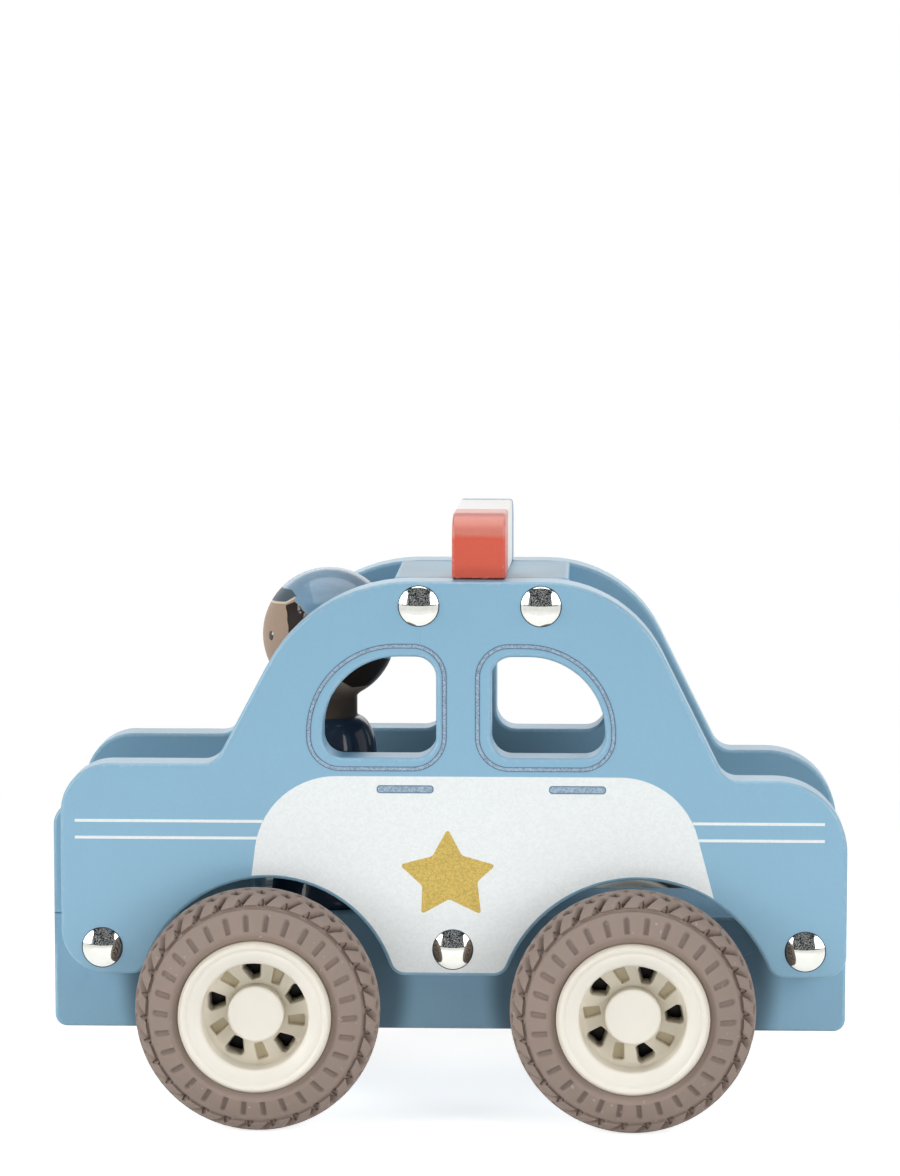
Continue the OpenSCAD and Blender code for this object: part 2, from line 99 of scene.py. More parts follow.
def colour(name, screen, text):
    return bpy.props.FloatVectorProperty(
        name=name, description=text, default=srgb(*screen), min=0, max=1, size=3, subtype="COLOR"
    )


def settings_group(kind, name, text):
    return bpy.props.PointerProperty(type=kind, name=name, description=text)


class TimberSettings(bpy.types.PropertyGroup):
    panel_round: size("Panel Edge", 0.8, "Radius of the rounded edges of the side panels")
    block_round: size("Block Edge", 0.8, "Radius of the rounded edges of the chassis and blocks")
    bar_round: size("Light Bar Edge", 0.6, "Radius of the rounded edges of the light bar")
    bar_turn: angle("Light Bar Turn", -0.0175, "Turn of the light bar on its seat")
    blue: colour("Blue", (139, 183, 208), "Paint of the panels, chassis and blocks")
    lamp_red: colour("Lamp Red", (218, 95, 74), "Paint of the light bar on the car's left")
    # The paler red over the light bar's rounded top is a painted sheen.
    lamp_red_sheen: colour("Lamp Red Sheen", (217, 129, 113), "Thinner red over the rounded top of the light bar")
    lamp_white: colour("Lamp White", (250, 248, 243), "Paint of the middle of the light bar")
    lamp_blue: colour("Lamp Blue", (96, 138, 178), "Paint of the light bar on the car's right")
    timber: colour("Bare Timber", (214, 188, 146), "Colour of the hidden dowels")


class PrintSettings(bpy.types.PropertyGroup):
    margin: size("Edge Margin", 0.75, "Blue edge left between a door print and the panel's edge")
    stripe_w: size("Stripe Width", 0.6, "Width of the thin stripes beside the doors")
    star_r: size("Star Radius", 10.3, "Distance from the star's middle to its top point")
    ring_gap: size("Ring Gap", 1.75, "Distance from a window to the thin ring round it")
    ring_w: size("Ring Width", 1.0, "Width of the ring round a window")
    ring_shift: size("Ring Shift", 0.55, "How far the window rings are printed towards the car's front")
    outline_w: size("Outline Width", 0.21, "Width of the dark line along the edges of rings and handles")
    handle_l: size("Handle Length", 11.7, "Length of a printed door handle")
    handle_w: size("Handle Width", 1.65, "Width of a printed door handle")
    white: colour("Door White", (236, 241, 241), "Ink of the doors and stripes")
    gold: colour("Star Gold", (203, 176, 92), "Ink of the star")
    silver: colour("Trim Silver", (150, 172, 191), "Ink of the window rings and handles")
    outline: colour("Trim Outline", (92, 118, 144), "Ink of the dark line along the rings and handles")


class WheelSettings(bpy.types.PropertyGroup):
    tread_count: bpy.props.IntProperty(
        name="Tread Count", description="Grooves and sidewall slots round a tyre", default=30, min=12, max=48
    )
    groove_deep: size("Groove Depth", 1.6, "Depth of the slanted tread grooves")
    notch_deep: size("Notch Depth", 1.15, "Depth of the small notches near the crown")
    slot_deep: size("Slot Depth", 0.5, "Depth of the sidewall slots")
    spoke_round: size("Spoke Edge", 0.3, "Radius of the rounded edges of the spokes")
    rubber: colour("Rubber", (147, 131, 121), "Colour of the tyres")
    cream: colour("Cream", (231, 226, 215), "Colour of the rims and hub caps")
    steel: colour("Steel", (186, 189, 192), "Colour of the axles")


class NailSettings(bpy.types.PropertyGroup):
    head_d: size("Head Diameter", 8.5, "Diameter of a nail's domed head")
    head_h: size("Head Height", 1.45, "Height of a nail's domed head")
    shank_d: size("Shank Diameter", 2.4, "Diameter of a nail's shank")
    chrome: colour("Chrome", (225, 226, 219), "Colour of the polished nail heads")


class DriverSettings(bpy.types.PropertyGroup):
    head_d: size("Head Diameter", 28.0, "Diameter of the driver's head")
    cap: colour("Cap", (120, 155, 181), "Paint of the cap")
    visor: colour("Visor", (86, 99, 108), "Paint of the cap's visor")
    piping: colour("Piping", (226, 213, 190), "Paint of the thin line under the cap")
    skin: colour("Skin", (176, 153, 135), "Paint of the face and neck")
    hair: colour("Hair", (42, 34, 30), "Paint of the hair")
    uniform: colour("Uniform", (40, 54, 72), "Paint of the body")
    eye: colour("Eye", (46, 32, 26), "Paint of the eyes")


class StageSettings(bpy.types.PropertyGroup):
    camera_at: bpy.props.FloatVectorProperty(
        name="Camera", description="Place of the camera", default=(-0.03196, 0.89063, 0.20249), unit="LENGTH"
    )
    yaw: angle("Yaw", 0.0363, "Turn of the camera towards the car's front")
    pitch: angle("Pitch", 0.1065, "Downward tilt of the camera")
    lens: bpy.props.FloatProperty(
        name="Lens", description="Focal length for a 36 mm long side", default=130.32, unit="CAMERA"
    )
    floor: colour("Floor", (240, 240, 240), "Colour of the floor near the car")


class ToyCarSettings(bpy.types.PropertyGroup):
    timber: settings_group(TimberSettings, "Timber", "Painted timber")
    prints: settings_group(PrintSettings, "Prints", "Printed doors and trims")
    wheels: settings_group(WheelSettings, "Wheels", "Tyres, rims and axles")
    nails: settings_group(NailSettings, "Nails", "Dome nails")
    driver: settings_group(DriverSettings, "Driver", "Peg driver")
    stage: settings_group(StageSettings, "Stage", "Floor, lamps and camera")


# Flat outlines, as lists of points in millimetres


def around(r, count):
    """Points of a circle."""
    return [(r * math.cos(a), r * math.sin(a)) for a in (2 * math.pi * i / count for i in range(count))]


def arc(x, z, r, a0, a1, step=4.0):
    """Points of an arc between two angles in degrees."""
    n = max(2, math.ceil(abs(a1 - a0) / step))
    turns = [math.radians(a0 + (a1 - a0) * i / n) for i in range(n + 1)]
    return [(x + r * math.cos(a), z + r * math.sin(a)) for a in turns]


def corner(p, q, s, r, step=6.0):
    """Points of the round of radius r in the corner at q between p and s."""
    p, q, s = Vector(p), Vector(q), Vector(s)
    u, v = (p - q).normalized(), (s - q).normalized()
    half = u.angle(v) / 2
    c = q + (u + v).normalized() * r / math.sin(half)
    a, b = q + u * r / math.tan(half) - c, q + v * r / math.tan(half) - c
    a0 = math.degrees(math.atan2(a.y, a.x))
    turn = math.degrees(math.atan2(a.x * b.y - a.y * b.x, a.dot(b)))
    return arc(c.x, c.y, r, a0, a0 + turn, step)


def rounded(corners, step=6.0):
    """Closed outline through corners (x, z, radius)."""
    n = len(corners)
    points = []
    for i, (x, z, r) in enumerate(corners):
        points += corner(corners[i - 1][:2], (x, z), corners[(i + 1) % n][:2], r, step)
    return points


def moved(points, x, z):
    return [(px + x, pz + z) for px, pz in points]


# Meshes


def add_object(name, mesh, materials=()):
    obj = bpy.data.objects.new(name, mesh)
    bpy.context.scene.collection.objects.link(obj)
    for m in materials:
        mesh.materials.append(m)
    return obj


def finish_mesh(name, bm, materials=(), merge=2e-7, smooth=True, outward=True):
    """Turns bm into an object, its doubles merged and its faces pointing outwards."""
    bmesh.ops.remove_doubles(bm, verts=bm.verts, dist=merge)
    if outward:
        bmesh.ops.recalc_face_normals(bm, faces=bm.faces)
    for f in bm.faces:
        f.smooth = smooth
    mesh = bpy.data.meshes.new(name)
    bm.to_mesh(mesh)
    bm.free()
    return add_object(name, mesh, materials)


def settle(obj):
    """Makes the evaluated shape of obj its plain mesh and drops the modifiers."""
    graph = bpy.context.evaluated_depsgraph_get()
    mesh = bpy.data.meshes.new_from_object(obj.evaluated_get(graph), preserve_all_data_layers=True, depsgraph=graph)
    old = obj.data
    obj.modifiers.clear()
    obj.data = mesh
    mesh.name = obj.name
    bpy.data.meshes.remove(old)
    return obj


def flat_normals(obj):
    """Keeps large faces flat and lets the rounded edges between them shade smoothly."""
    weigh = obj.modifiers.new("large faces lead", "WEIGHTED_NORMAL")
    weigh.mode = "FACE_AREA"
    weigh.weight = 60
    return settle(obj)


def piece(obj, body, slot, *nodes):
    """Says which body carries obj and which solids it stands for; slot, its finish, is not used."""
    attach(obj, body)
    if nodes:
        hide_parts(*nodes)
    return obj


def rounded_copy(node, name, width, material, keep_sharp=(), inward=None):
    """Copy of a solid with its edges rounded over, apart from those near the points in keep_sharp.
    Faces that look along inward are marked as inside ones, by the length of inward."""
    bm = bmesh.new()
    bm.from_mesh(NODES[node].data)
    bmesh.ops.remove_doubles(bm, verts=bm.verts, dist=2e-6)
    bmesh.ops.dissolve_limit(bm, angle_limit=math.radians(0.8), verts=bm.verts, edges=bm.edges)

    def plain(edge):
        mid = (edge.verts[0].co + edge.verts[1].co) / 2
        return any((Vector((mid.x, mid.z)) - Vector((x * MM, z * MM))).length < r * MM for x, z, r in keep_sharp)

    sharp = [e for e in bm.edges if e.is_manifold and e.calc_face_angle(0) > math.radians(28) and not plain(e)]
    made = bmesh.ops.bevel(
        bm,
        geom=sharp,
        offset=width,
        offset_type="OFFSET",
        segments=4,
        profile=0.5,
        affect="EDGES",
        clamp_overlap=False,
    )
    worn = bm.loops.layers.float.new("rounding")
    for f in made["faces"]:
        for loop in f.loops:
            loop[worn] = 1.0
    bm.normal_update()
    inside, flank = (bm.loops.layers.float.new(label) for label in ("inside", "flank"))
    for f in bm.faces:
        for loop in f.loops:
            loop[inside] = max(f.normal.dot(Vector(inward)), 0) if inward else 0.0
            loop[flank] = abs(f.normal.y) > 0.3
    obj = finish_mesh(name, bm, [material], merge=1e-7, outward=False)
    return flat_normals(obj)


def turned(bm, profile, segments):
    """Adds the solid of revolution of a profile (radius, height) in millimetres about Z."""
    rings = []
    for r, z in profile:
        ring = around(r, segments) if r > 1e-6 else [(0, 0)]
        rings.append([bm.verts.new((x * MM, y * MM, z * MM)) for x, y in ring])
    join(bm, rings)
    return rings


def join(bm, rings):
    for low, high in zip(rings, rings[1:]):
        bridge(bm, low, high)


def bridge(bm, low, high):
    """Joins two rings of points; either may be a single point."""
    n = max(len(low), len(high))
    for i in range(n):
        j = (i + 1) % n
        if len(low) == 1:
            bm.faces.new((low[0], high[j], high[i]))
        elif len(high) == 1:
            bm.faces.new((low[i], low[j], high[0]))
        else:
            bm.faces.new((low[i], low[j], high[j], high[i]))


def sheet(bm, outline, side, low, high, inner=None):
    """Adds a thin closed sheet on a panel's outer face; inner is the outline of a hole with as many points."""

    def loop(points, lift):
        return [bm.verts.new((x * MM, side * (FACE_Y + lift) * MM, z * MM)) for x, z in points]

    back, front = loop(outline, low), loop(outline, high)
    bridge(bm, back, front)
    if inner is None:
        bm.faces.new(back)
        bm.faces.new(front)
        return
    hole_back, hole_front = loop(inner, low), loop(inner, high)
    bridge(bm, hole_back, hole_front)
    bridge(bm, back, hole_back)
    bridge(bm, front, hole_front)


# Node helpers and shader groups


def put(tree, socket, value):
    """Links value to a socket, or sets the socket where value is a number or a colour."""
    if isinstance(value, bpy.types.NodeSocket):
        tree.links.new(value, socket)
    else:
        socket.default_value = (*value, 1.0) if socket.type == "RGBA" and len(value) == 3 else value


def node(tree, kind, inputs=None, **settings):
    made = tree.nodes.new(kind)
    for key, value in settings.items():
        setattr(made, key, value)
    for key, value in (inputs or {}).items():
        put(tree, made.inputs[key], value)
    return made


def after(kind, inputs, **settings):
    """Adds a node to the tree that its first linked input is in; returns its outputs."""
    tree = next(v.id_data for v in inputs.values() if isinstance(v, bpy.types.NodeSocket))
    return node(tree, kind, inputs, **settings).outputs


def feed(made, **inputs):
    """Feeds a node's inputs, their names given in lower case; returns its outputs."""
    for key, value in inputs.items():
        put(made.id_data, made.inputs[key.replace("_", " ").title().replace("Ior", "IOR")], value)
    return made.outputs


def maths(operation, *values, clamp=False):
    return after("ShaderNodeMath", dict(enumerate(values)), operation=operation, use_clamp=clamp)[0]


def times(value, *others):
    for other in others:
        value = maths("MULTIPLY", value, other)
    return value


def plus(a, b, clamp=False):
    return maths("ADD", a, b, clamp=clamp)


def minus(a, b):
    return maths("SUBTRACT", a, b)


def larger(a, b):
    return maths("MAXIMUM", a, b)


def magnitude(value):
    return maths("ABSOLUTE", value)


def ramp(value, low, high, to_low=0.0, to_high=1.0, smooth=False):
    inputs = {"Value": value, "From Min": low, "From Max": high, "To Min": to_low, "To Max": to_high}
    kind = "SMOOTHSTEP" if smooth else "LINEAR"
    return after("ShaderNodeMapRange", inputs, interpolation_type=kind, clamp=True)["Result"]


def mix(mask, a, b):
    return after("ShaderNodeMix", {0: mask, 6: a, 7: b}, data_type="RGBA")[2]


def toned(tone, tint):
    """Tint with its brightness multiplied by tone."""
    return after("ShaderNodeHueSaturation", {"Value": tone, "Color": tint})["Color"]


def noise(where, scale, detail=2.0, roughness=0.5):
    inputs = {"Vector": where, "Scale": scale, "Detail": detail, "Roughness": roughness}
    return after("ShaderNodeTexNoise", inputs)["Fac"]


def signed(value):
    """Middle range of a noise spread from -1 to 1."""
    return ramp(value, 0.3, 0.7, -1.0, 1.0)


def place(tree):
    return node(tree, "ShaderNodeTexCoord").outputs["Object"]


def mapped(tree, **inputs):
    """Object coordinates moved, turned or scaled."""
    return feed(tree.nodes.new("ShaderNodeMapping"), vector=place(tree), **inputs)["Vector"]


def split(vector):
    return after("ShaderNodeSeparateXYZ", {"Vector": vector})


def length_of(vector):
    return after("ShaderNodeVectorMath", {0: vector}, operation="LENGTH")["Value"]


def attribute(tree, name):
    return node(tree, "ShaderNodeAttribute", attribute_name=name).outputs["Fac"]


def shader_group(name, inputs, outputs):
    """Empty shader group with inputs {name: default} and named outputs, of which Colour is a colour.
    Returns the tree, its inputs' sockets and its output node."""
    tree = bpy.data.node_groups.new(name, "ShaderNodeTree")
    for label, default in inputs.items():
        kind = "NodeSocketColor" if isinstance(default, tuple) else "NodeSocketFloat"
        tree.interface.new_socket(label, in_out="INPUT", socket_type=kind).default_value = default
    for label in outputs:
        kind = "NodeSocketColor" if label == "Colour" else "NodeSocketFloat"
        tree.interface.new_socket(label, in_out="OUTPUT", socket_type=kind)
    return tree, tree.nodes.new("NodeGroupInput").outputs, tree.nodes.new("NodeGroupOutput")


def use(tree, group, **inputs):
    """Adds a group and feeds its inputs; returns its outputs."""
    return feed(node(tree, "ShaderNodeGroup", node_tree=group), **inputs)


def once(build):
    """Keeps what build makes, so that each group and finish is made a single time."""
    kept = []

    def get():
        if not kept:
            kept.append(build())
        return kept[0]

    return get


GREY, DARK_GREY, WHITE = ((c, c, c, 1) for c in (0.5, 0.2, 1))


@once
def film_group():
    """Brushed or sprayed film: slow patches of tone, fine grit, and a faint orange peel."""
    defaults = {"Colour": GREY, "Patches": 0.05, "Grit": 0.05, "Gloss": 0.5}
    tree, given, end = shader_group("paint_film", defaults, ("Colour", "Roughness", "Height"))
    where = place(tree)
    slow = signed(noise(where, 38.0, 3.0, 0.6))
    fine = signed(noise(where, 1500.0, 1.0))
    tone = plus(1.0, times(slow, given["Patches"]))
    tone = plus(tone, times(fine, given["Grit"]))
    rough = plus(minus(1.0, given["Gloss"]), times(slow, 0.04), clamp=True)
    peel = plus(noise(where, 420.0, 2.0, 0.55), times(fine, 0.25))
    feed(end, colour=toned(tone, given["Colour"]), roughness=rough, height=peel)
    return tree


@once
def wear_group():
    """Edges that show a paler coat where the film is thin, broken up by noise."""
    defaults = {"Colour": GREY, "Worn": WHITE, "Edge": 0.0, "Amount": 0.3}
    tree, given, end = shader_group("edge_wear", defaults, ("Colour",))
    broken = ramp(noise(place(tree), 900.0, 3.0, 0.6), 0.5, 0.66)
    mask = times(given["Edge"], broken, given["Amount"])
    feed(end, colour=mix(mask, given["Colour"], given["Worn"]))
    return tree


@once
def glitter_group():
    """Tiny flakes of uneven brightness in a metallic ink."""
    defaults = {"Colour": GREY, "Flake Scale": 3000.0, "Contrast": 0.4}
    tree, given, end = shader_group("glitter_flakes", defaults, ("Colour", "Flake", "Height"))
    cells = after("ShaderNodeTexVoronoi", {"Vector": place(tree), "Scale": given["Flake Scale"]})
    parts = after("ShaderNodeSeparateColor", {"Color": cells["Color"]})
    tone = plus(1.0, times(minus(parts["Red"], 0.5), given["Contrast"]))
    feed(end, colour=toned(tone, given["Colour"]), flake=parts["Red"], height=parts["Green"])
    return tree


@once
def moulding_group():
    """Moulded skin: soft blotches, pale dust specks and a fine tooth, with painted shade where Hollow is high."""
    defaults = {"Colour": GREY, "Deep": DARK_GREY, "Hollow": 0.0, "Dust": 0.1, "Blotch": 0.05}
    tree, given, end = shader_group("moulded_skin", defaults, ("Colour", "Blotch", "Height"))
    where = place(tree)
    blotch = signed(noise(where, 90.0, 3.0, 0.6))
    # Painted shade: the Deep colour where Hollow is high.
    base = mix(given["Hollow"], given["Colour"], given["Deep"])
    base = toned(plus(1.0, times(blotch, given["Blotch"])), base)
    specks = ramp(noise(where, 900.0, 1.0), 0.72, 0.8)
    dusty = mix(times(specks, given["Dust"]), base, (0.62, 0.58, 0.54))
    feed(end, colour=dusty, blotch=blotch, height=noise(where, 1300.0, 2.0))
    return tree


# Materials


def empty_tree(owner):
    """Emptied node tree of a material or world."""
    owner.use_nodes = True
    owner.node_tree.nodes.clear()
    return owner.node_tree


def material(name):
    made = bpy.data.materials.new(name)
    tree = empty_tree(made)
    shader = tree.nodes.new("ShaderNodeBsdfPrincipled")
    node(tree, "ShaderNodeOutputMaterial", {"Surface": shader.outputs["BSDF"]})
    return made, tree, shader


def bump(shader, height, strength, depth):
    made = after("ShaderNodeBump", {"Height": height, "Strength": strength, "Distance": depth})
    feed(shader, normal=made["Normal"])


def film(shader, tint, patches, grit, gloss, strength):
    """Feeds a paint film of the given tint to the shader; returns the film's outputs."""
    made = use(shader.id_data, film_group(), colour=tint, patches=patches, grit=grit, gloss=gloss)
    feed(shader, base_color=made["Colour"], roughness=made["Roughness"])
    bump(shader, made["Height"], strength, 0.00012)
    return made


def worn(tint, under, amount):
    """Tint with the coat under it showing at the rounded edges."""
    edge = attribute(tint.id_data, "rounding")
    return use(tint.id_data, wear_group(), colour=tint, worn=under, edge=edge, amount=amount)["Colour"]


# Length of the mark that tells the roof block's top from the other inside faces
ROOF_MARK = 0.26

# Where the blue paint's painted shade fades, in metres: the cabin's ends and top, round an axle and at the core's
# side
CABIN_FRONT, CABIN_REAR, CABIN_TOP = (0.022, 0.036), (-0.06, -0.02), (0.06, 0.1)
ARCH_REACH, CORE_SIDE = (0.0265, 0.032), (0.0182, 0.0186)


@once
def blue_paint():
    """Blue film: worn edges, painted shade in the cabin and the wheel arches, and scuffs on the roof block's top."""
    made, tree, shader = material("blue_timber_paint")
    painted = film(shader, bpy.context.scene.toy_car.timber.blue, 0.01, 0.012, 0.64, 0.07)
    inside = attribute(tree, "inside")
    x, y, z = split(place(tree))
    fore = ramp(x, *CABIN_FRONT, 1.0, 0.0, smooth=True)
    aft = ramp(x, *CABIN_REAR, smooth=True)
    low = ramp(z, *CABIN_TOP, 1.0, 0.0, smooth=True)
    # Painted shade on the inside faces of the cabin, darker low down between its ends.
    cabin = times(inside, ramp(times(fore, aft, low), 0, 1, 0.02, 0.5))
    # Painted shade on the side faces at the car's core round each axle, inside the wheel arches.
    along = minus(magnitude(x), FRONT_AXLE * MM)
    from_axle = after("ShaderNodeCombineXYZ", {"X": along, "Z": minus(z, AXLE_Z * MM)})["Vector"]
    near_axle = ramp(length_of(from_axle), *ARCH_REACH, 0.65, 0.0, smooth=True)
    core = ramp(magnitude(y), *CORE_SIDE, 1.0, 0.0)
    arch = times(near_axle, core, attribute(tree, "flank"))
    tint = worn(painted["Colour"], srgb(212, 212, 206), 0.16)
    tint = toned(minus(1.0, larger(cabin, arch)), tint)
    roof = maths("COMPARE", inside, ROOF_MARK, 0.02)
    scuffs = ramp(noise(place(tree), 1100.0, 3.0, 0.65), 0.5, 0.62, 0.05, 0.5)
    tint = mix(times(roof, scuffs), tint, srgb(176, 178, 174))
    matt = times(larger(inside, arch), 0.45)
    feed(shader, base_color=tint, roughness=plus(painted["Roughness"], matt, clamp=True))
    return made


def ink(name, tint, contrast, scale, metallic, gloss):
    made, tree, shader = material(name)
    flakes = use(tree, glitter_group(), colour=tint, contrast=contrast, flake_scale=scale)
    rough = ramp(flakes["Flake"], 0, 1, 0.8 - gloss, 1.0 - gloss)
    feed(shader, base_color=flakes["Colour"], roughness=rough, metallic=metallic)
    bump(shader, flakes["Height"], 0.15, 0.00004)
    return made


def moulded(name, tint, deep, dust, blotch, rough, tooth):
    """Moulded material with painted shade in its hollows; rough is a range and tooth the strength and depth of its
    bump.
    """
    made, tree, shader = material(name)
    hollow = attribute(tree, "hollow")
    skin = use(tree, moulding_group(), colour=tint, deep=deep, hollow=hollow, dust=dust, blotch=blotch)
    feed(shader, base_color=skin["Colour"], roughness=ramp(skin["Blotch"], -1, 1, *rough))
    bump(shader, skin["Height"], *tooth)
    return made, tree, shader, skin["Colour"]


@once
def cream_plastic():
    # deep is the painted shade in the rim's eye, at the lip's foot and in its valley; the dark disc inside the drum
    # is painted near-black as the shadow deep in the wheel.
    cream, deep = bpy.context.scene.toy_car.wheels.cream, srgb(212, 201, 174)
    made, tree, shader, tint = moulded("cream_plastic", cream, deep, 0.0, 0.02, (0.4, 0.5), (0.05, 0.0001))
    feed(shader, base_color=mix(attribute(tree, "liner"), tint, srgb(30, 26, 24)))
    return made


@once
def tyre_rubber():
    # deep is the painted shade in the tyre's slots and grooves.
    rubber, deep = bpy.context.scene.toy_car.wheels.rubber, srgb(96, 84, 77)
    made, _, shader, _ = moulded("taupe_rubber", rubber, deep, 0.35, 0.04, (0.62, 0.74), (0.22, 0.00012))
    feed(shader, specular_ior_level=0.3)
    return made


def metal(name, tint, rough, stretch):
    """Metal with fine scratches, drawn out by stretch, and a dark rim painted as a contact shadow where the mesh
    marks one.
    """
    made, tree, shader = material(name)
    lines = noise(mapped(tree, scale=stretch), 1200.0, 2.0)
    tint = toned(ramp(lines, 0.3, 0.7, 0.95, 1.03), tint)
    # Painted contact shadow: a dark blue-grey where the mesh marks the rim.
    tint = mix(attribute(tree, "rim"), tint, srgb(70, 80, 95))
    rough = ramp(lines, 0.3, 0.7, rough * 0.7, rough * 1.3)
    feed(shader, base_color=tint, roughness=rough, metallic=1.0)
    bump(shader, lines, 0.02, 0.00005)
    return made


def bare_timber(tint):
    made, tree, shader = material("bare_timber")
    rings = noise(mapped(tree, scale=(1.0, 1.0, 0.12)), 900.0, 4.0, 0.65)
    tint = mix(ramp(rings, 0.35, 0.65), shaded(tint, 0.72), tint)
    feed(shader, base_color=tint, roughness=ramp(rings, 0.3, 0.7, 0.75, 0.6))
    bump(shader, rings, 0.2, 0.0001)
    return made


# Shares of the light bar's length in red and blue, and the height of its rounded top in millimetres
RED_SHARE, BLUE_SHARE, BAR_TOP = 0.307, 0.193, 4.6


def lamp_paint(settings):
    """Red, white and blue fields across the car with slightly uneven borders; a paler red is painted over the rounded
    top as a sheen, and the bottom edge is painted dark as a contact shadow.
    """
    made, tree, shader = material("light_bar_paint")
    _, y, z = split(place(tree))
    wander = times(minus(noise(place(tree), 300.0), 0.5), 0.0008)
    across, up = plus(y, wander), plus(z, wander)
    low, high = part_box("light_bar")
    red_edge = high.y - RED_SHARE * (high.y - low.y)
    blue_edge = low.y + BLUE_SHARE * (high.y - low.y)
    round_z = high.z - BAR_TOP * MM
    # The rounded top takes a paler red as a painted sheen.
    red = mix(ramp(up, round_z - 3e-4, round_z + 6e-4), settings.lamp_red, settings.lamp_red_sheen)
    pale = ramp(across, blue_edge - 1e-4, blue_edge + 1e-4)
    pale = mix(pale, settings.lamp_blue, settings.lamp_white)
    tint = mix(ramp(across, red_edge - 1e-4, red_edge + 1e-4), pale, red)
    # Painted contact shadow: the bar darkens over its lowest half millimetre.
    tint = toned(ramp(z, low.z + 2.5e-4, low.z + 4.5e-4, 0.12, 1.0), tint)
    painted = film(shader, tint, 0.012, 0.02, 0.62, 0.08)
    feed(shader, base_color=worn(painted["Colour"], srgb(232, 190, 178), 0.2))
    return made


def dress(names, made):
    """Gives CAD nodes that stay in sight a material."""
    for name in names:
        mesh = NODES[name].data
        mesh.materials.clear()
        mesh.materials.append(made)


# Pieces


def nail_places():
    """(x, z) of the roof nails and of the sill nails, read from the solids."""
    places = {}
    for row in ("roof", "sill"):
        low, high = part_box(f"left_{row}_nails")
        r = bpy.context.scene.toy_car.nails.head_d / 2
        z = (low.z + high.z) / 2
        ends = [low.x + r, high.x - r]
        if row == "sill":
            ends.insert(1, (low.x + high.x) / 2)
        places[row] = [(x / MM, z / MM) for x in ends]
    return places


class TOYCAR_OT_timber(bpy.types.Operator):
    """Painted chassis, blocks and side panels with rounded edges"""

    bl_idname = "toycar.timber"
    bl_label = "Painted Timber"

    def execute(self, context):
        settings = context.scene.toy_car.timber
        paint = blue_paint()
        nails = [(x, z, 2.2) for row in nail_places().values() for x, z in row]
        bores = [(x, AXLE_Z, 3.0) for x in (FRONT_AXLE, REAR_AXLE)]
        for side, inward in (("left", (0, -1, 0)), ("right", (0, 1, 0))):
            panel = rounded_copy(
                f"{side}_side_panel", f"{side}_panel_painted", settings.panel_round, paint, nails, inward
            )
            piece(panel, BODY, "blue_paint", f"{side}_side_panel")
        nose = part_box("front_block")
        joint = [(nose[1].x / MM, nose[0].z / MM, 2.0)]
        marks = {"chassis_board": (0, 0, 1), "front_block": (-1, 0, 0), "roof_block": (0, 0, ROOF_MARK)}
        sharp = nails + bores + joint
        for solid, inward in marks.items():
            block = rounded_copy(solid, f"{solid}_painted", settings.block_round, paint, sharp, inward)
            piece(block, BODY, "blue_paint", solid)
        dress(("front_block_dowels", "light_bar_dowels"), bare_timber(settings.timber))
        return {"FINISHED"}


class TOYCAR_OT_light_bar(bpy.types.Operator):
    """Light bar painted in three colours"""

    bl_idname = "toycar.light_bar"
    bl_label = "Light Bar"

    def execute(self, context):
        settings = context.scene.toy_car.timber
        bar = rounded_copy("light_bar", "light_bar_painted", settings.bar_round, lamp_paint(settings))
        low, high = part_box("light_bar")
        seat = Matrix.Translation((low + high) / 2)
        bar.data.transform(seat @ Matrix.Rotation(settings.bar_turn, 4, "Z") @ seat.inverted())
        piece(bar, BODY, "lamp_paint", "light_bar")
        return {"FINISHED"}


# The panels' arches and windows, in millimetres
ARCH_RISE, FOOT_R = 20.2, 3.6
FRONT_ARCH_R, REAR_ARCH_R = 26.406, 28.593
WINDOW_W, WINDOW_H, SILL = 23.393, 20.9, 45.4
WINDOW_BIG, WINDOW_SMALL = 15.697, 4.3
POST_W, POST_BACK = 11.308, 2.2

# The prints, in millimetres from the panels' middle and foot
DOOR_TOP, DOOR_FRONT, DOOR_REAR = 41.6, 38.9, -47.0
DOOR_FRONT_R, DOOR_REAR_R = 17.0, 16.5
DOOR_FRONT_A, DOOR_REAR_A = 83.0, 121.8
STRIPE_ZS, STRIPE_FRONT, STRIPE_REAR = (32.1, 28.6), 78.0, -76.3
STAR_X, STAR_Z = 1.07, 20.5
HANDLE_XS, HANDLE_Z = (9.8, -25.6), 38.95
INK = 0.05


def arch_parts(axle, r):
    """Middle and foot geometry of a wheel arch."""
    x = axle + PANEL_MID
    z = PANEL_FOOT + ARCH_RISE - r
    foot_z = PANEL_FOOT + FOOT_R
    reach = math.sqrt((r + FOOT_R) ** 2 - (foot_z - z) ** 2)
    return x, z, foot_z, reach, math.degrees(math.atan2(z - foot_z, reach))


def door_outline(margin):
    """White door print between the wheel arches, margin inside the panel's edge."""
    fx, fz, foot_z, f_reach, f_a = arch_parts(FRONT_AXLE, FRONT_ARCH_R)
    rx, rz, _, r_reach, r_a = arch_parts(REAR_AXLE, REAR_ARCH_R)
    front = arc(fx, fz, FRONT_ARCH_R + margin, DOOR_FRONT_A, 180 + f_a)
    front += arc(fx - f_reach, foot_z, FOOT_R - margin, f_a, -90)
    rear = arc(rx + r_reach, foot_z, FOOT_R - margin, 270, 180 - r_a)
    rear += arc(rx, rz, REAR_ARCH_R + margin, -r_a, DOOR_REAR_A)
    rear_top = (PANEL_MID + DOOR_REAR, PANEL_FOOT + DOOR_TOP)
    front_top = (PANEL_MID + DOOR_FRONT, PANEL_FOOT + DOOR_TOP)
    points = front + rear
    points += corner(rear[-1], rear_top, front_top, DOOR_REAR_R)
    points += corner(rear_top, front_top, front[0], DOOR_FRONT_R)
    return points


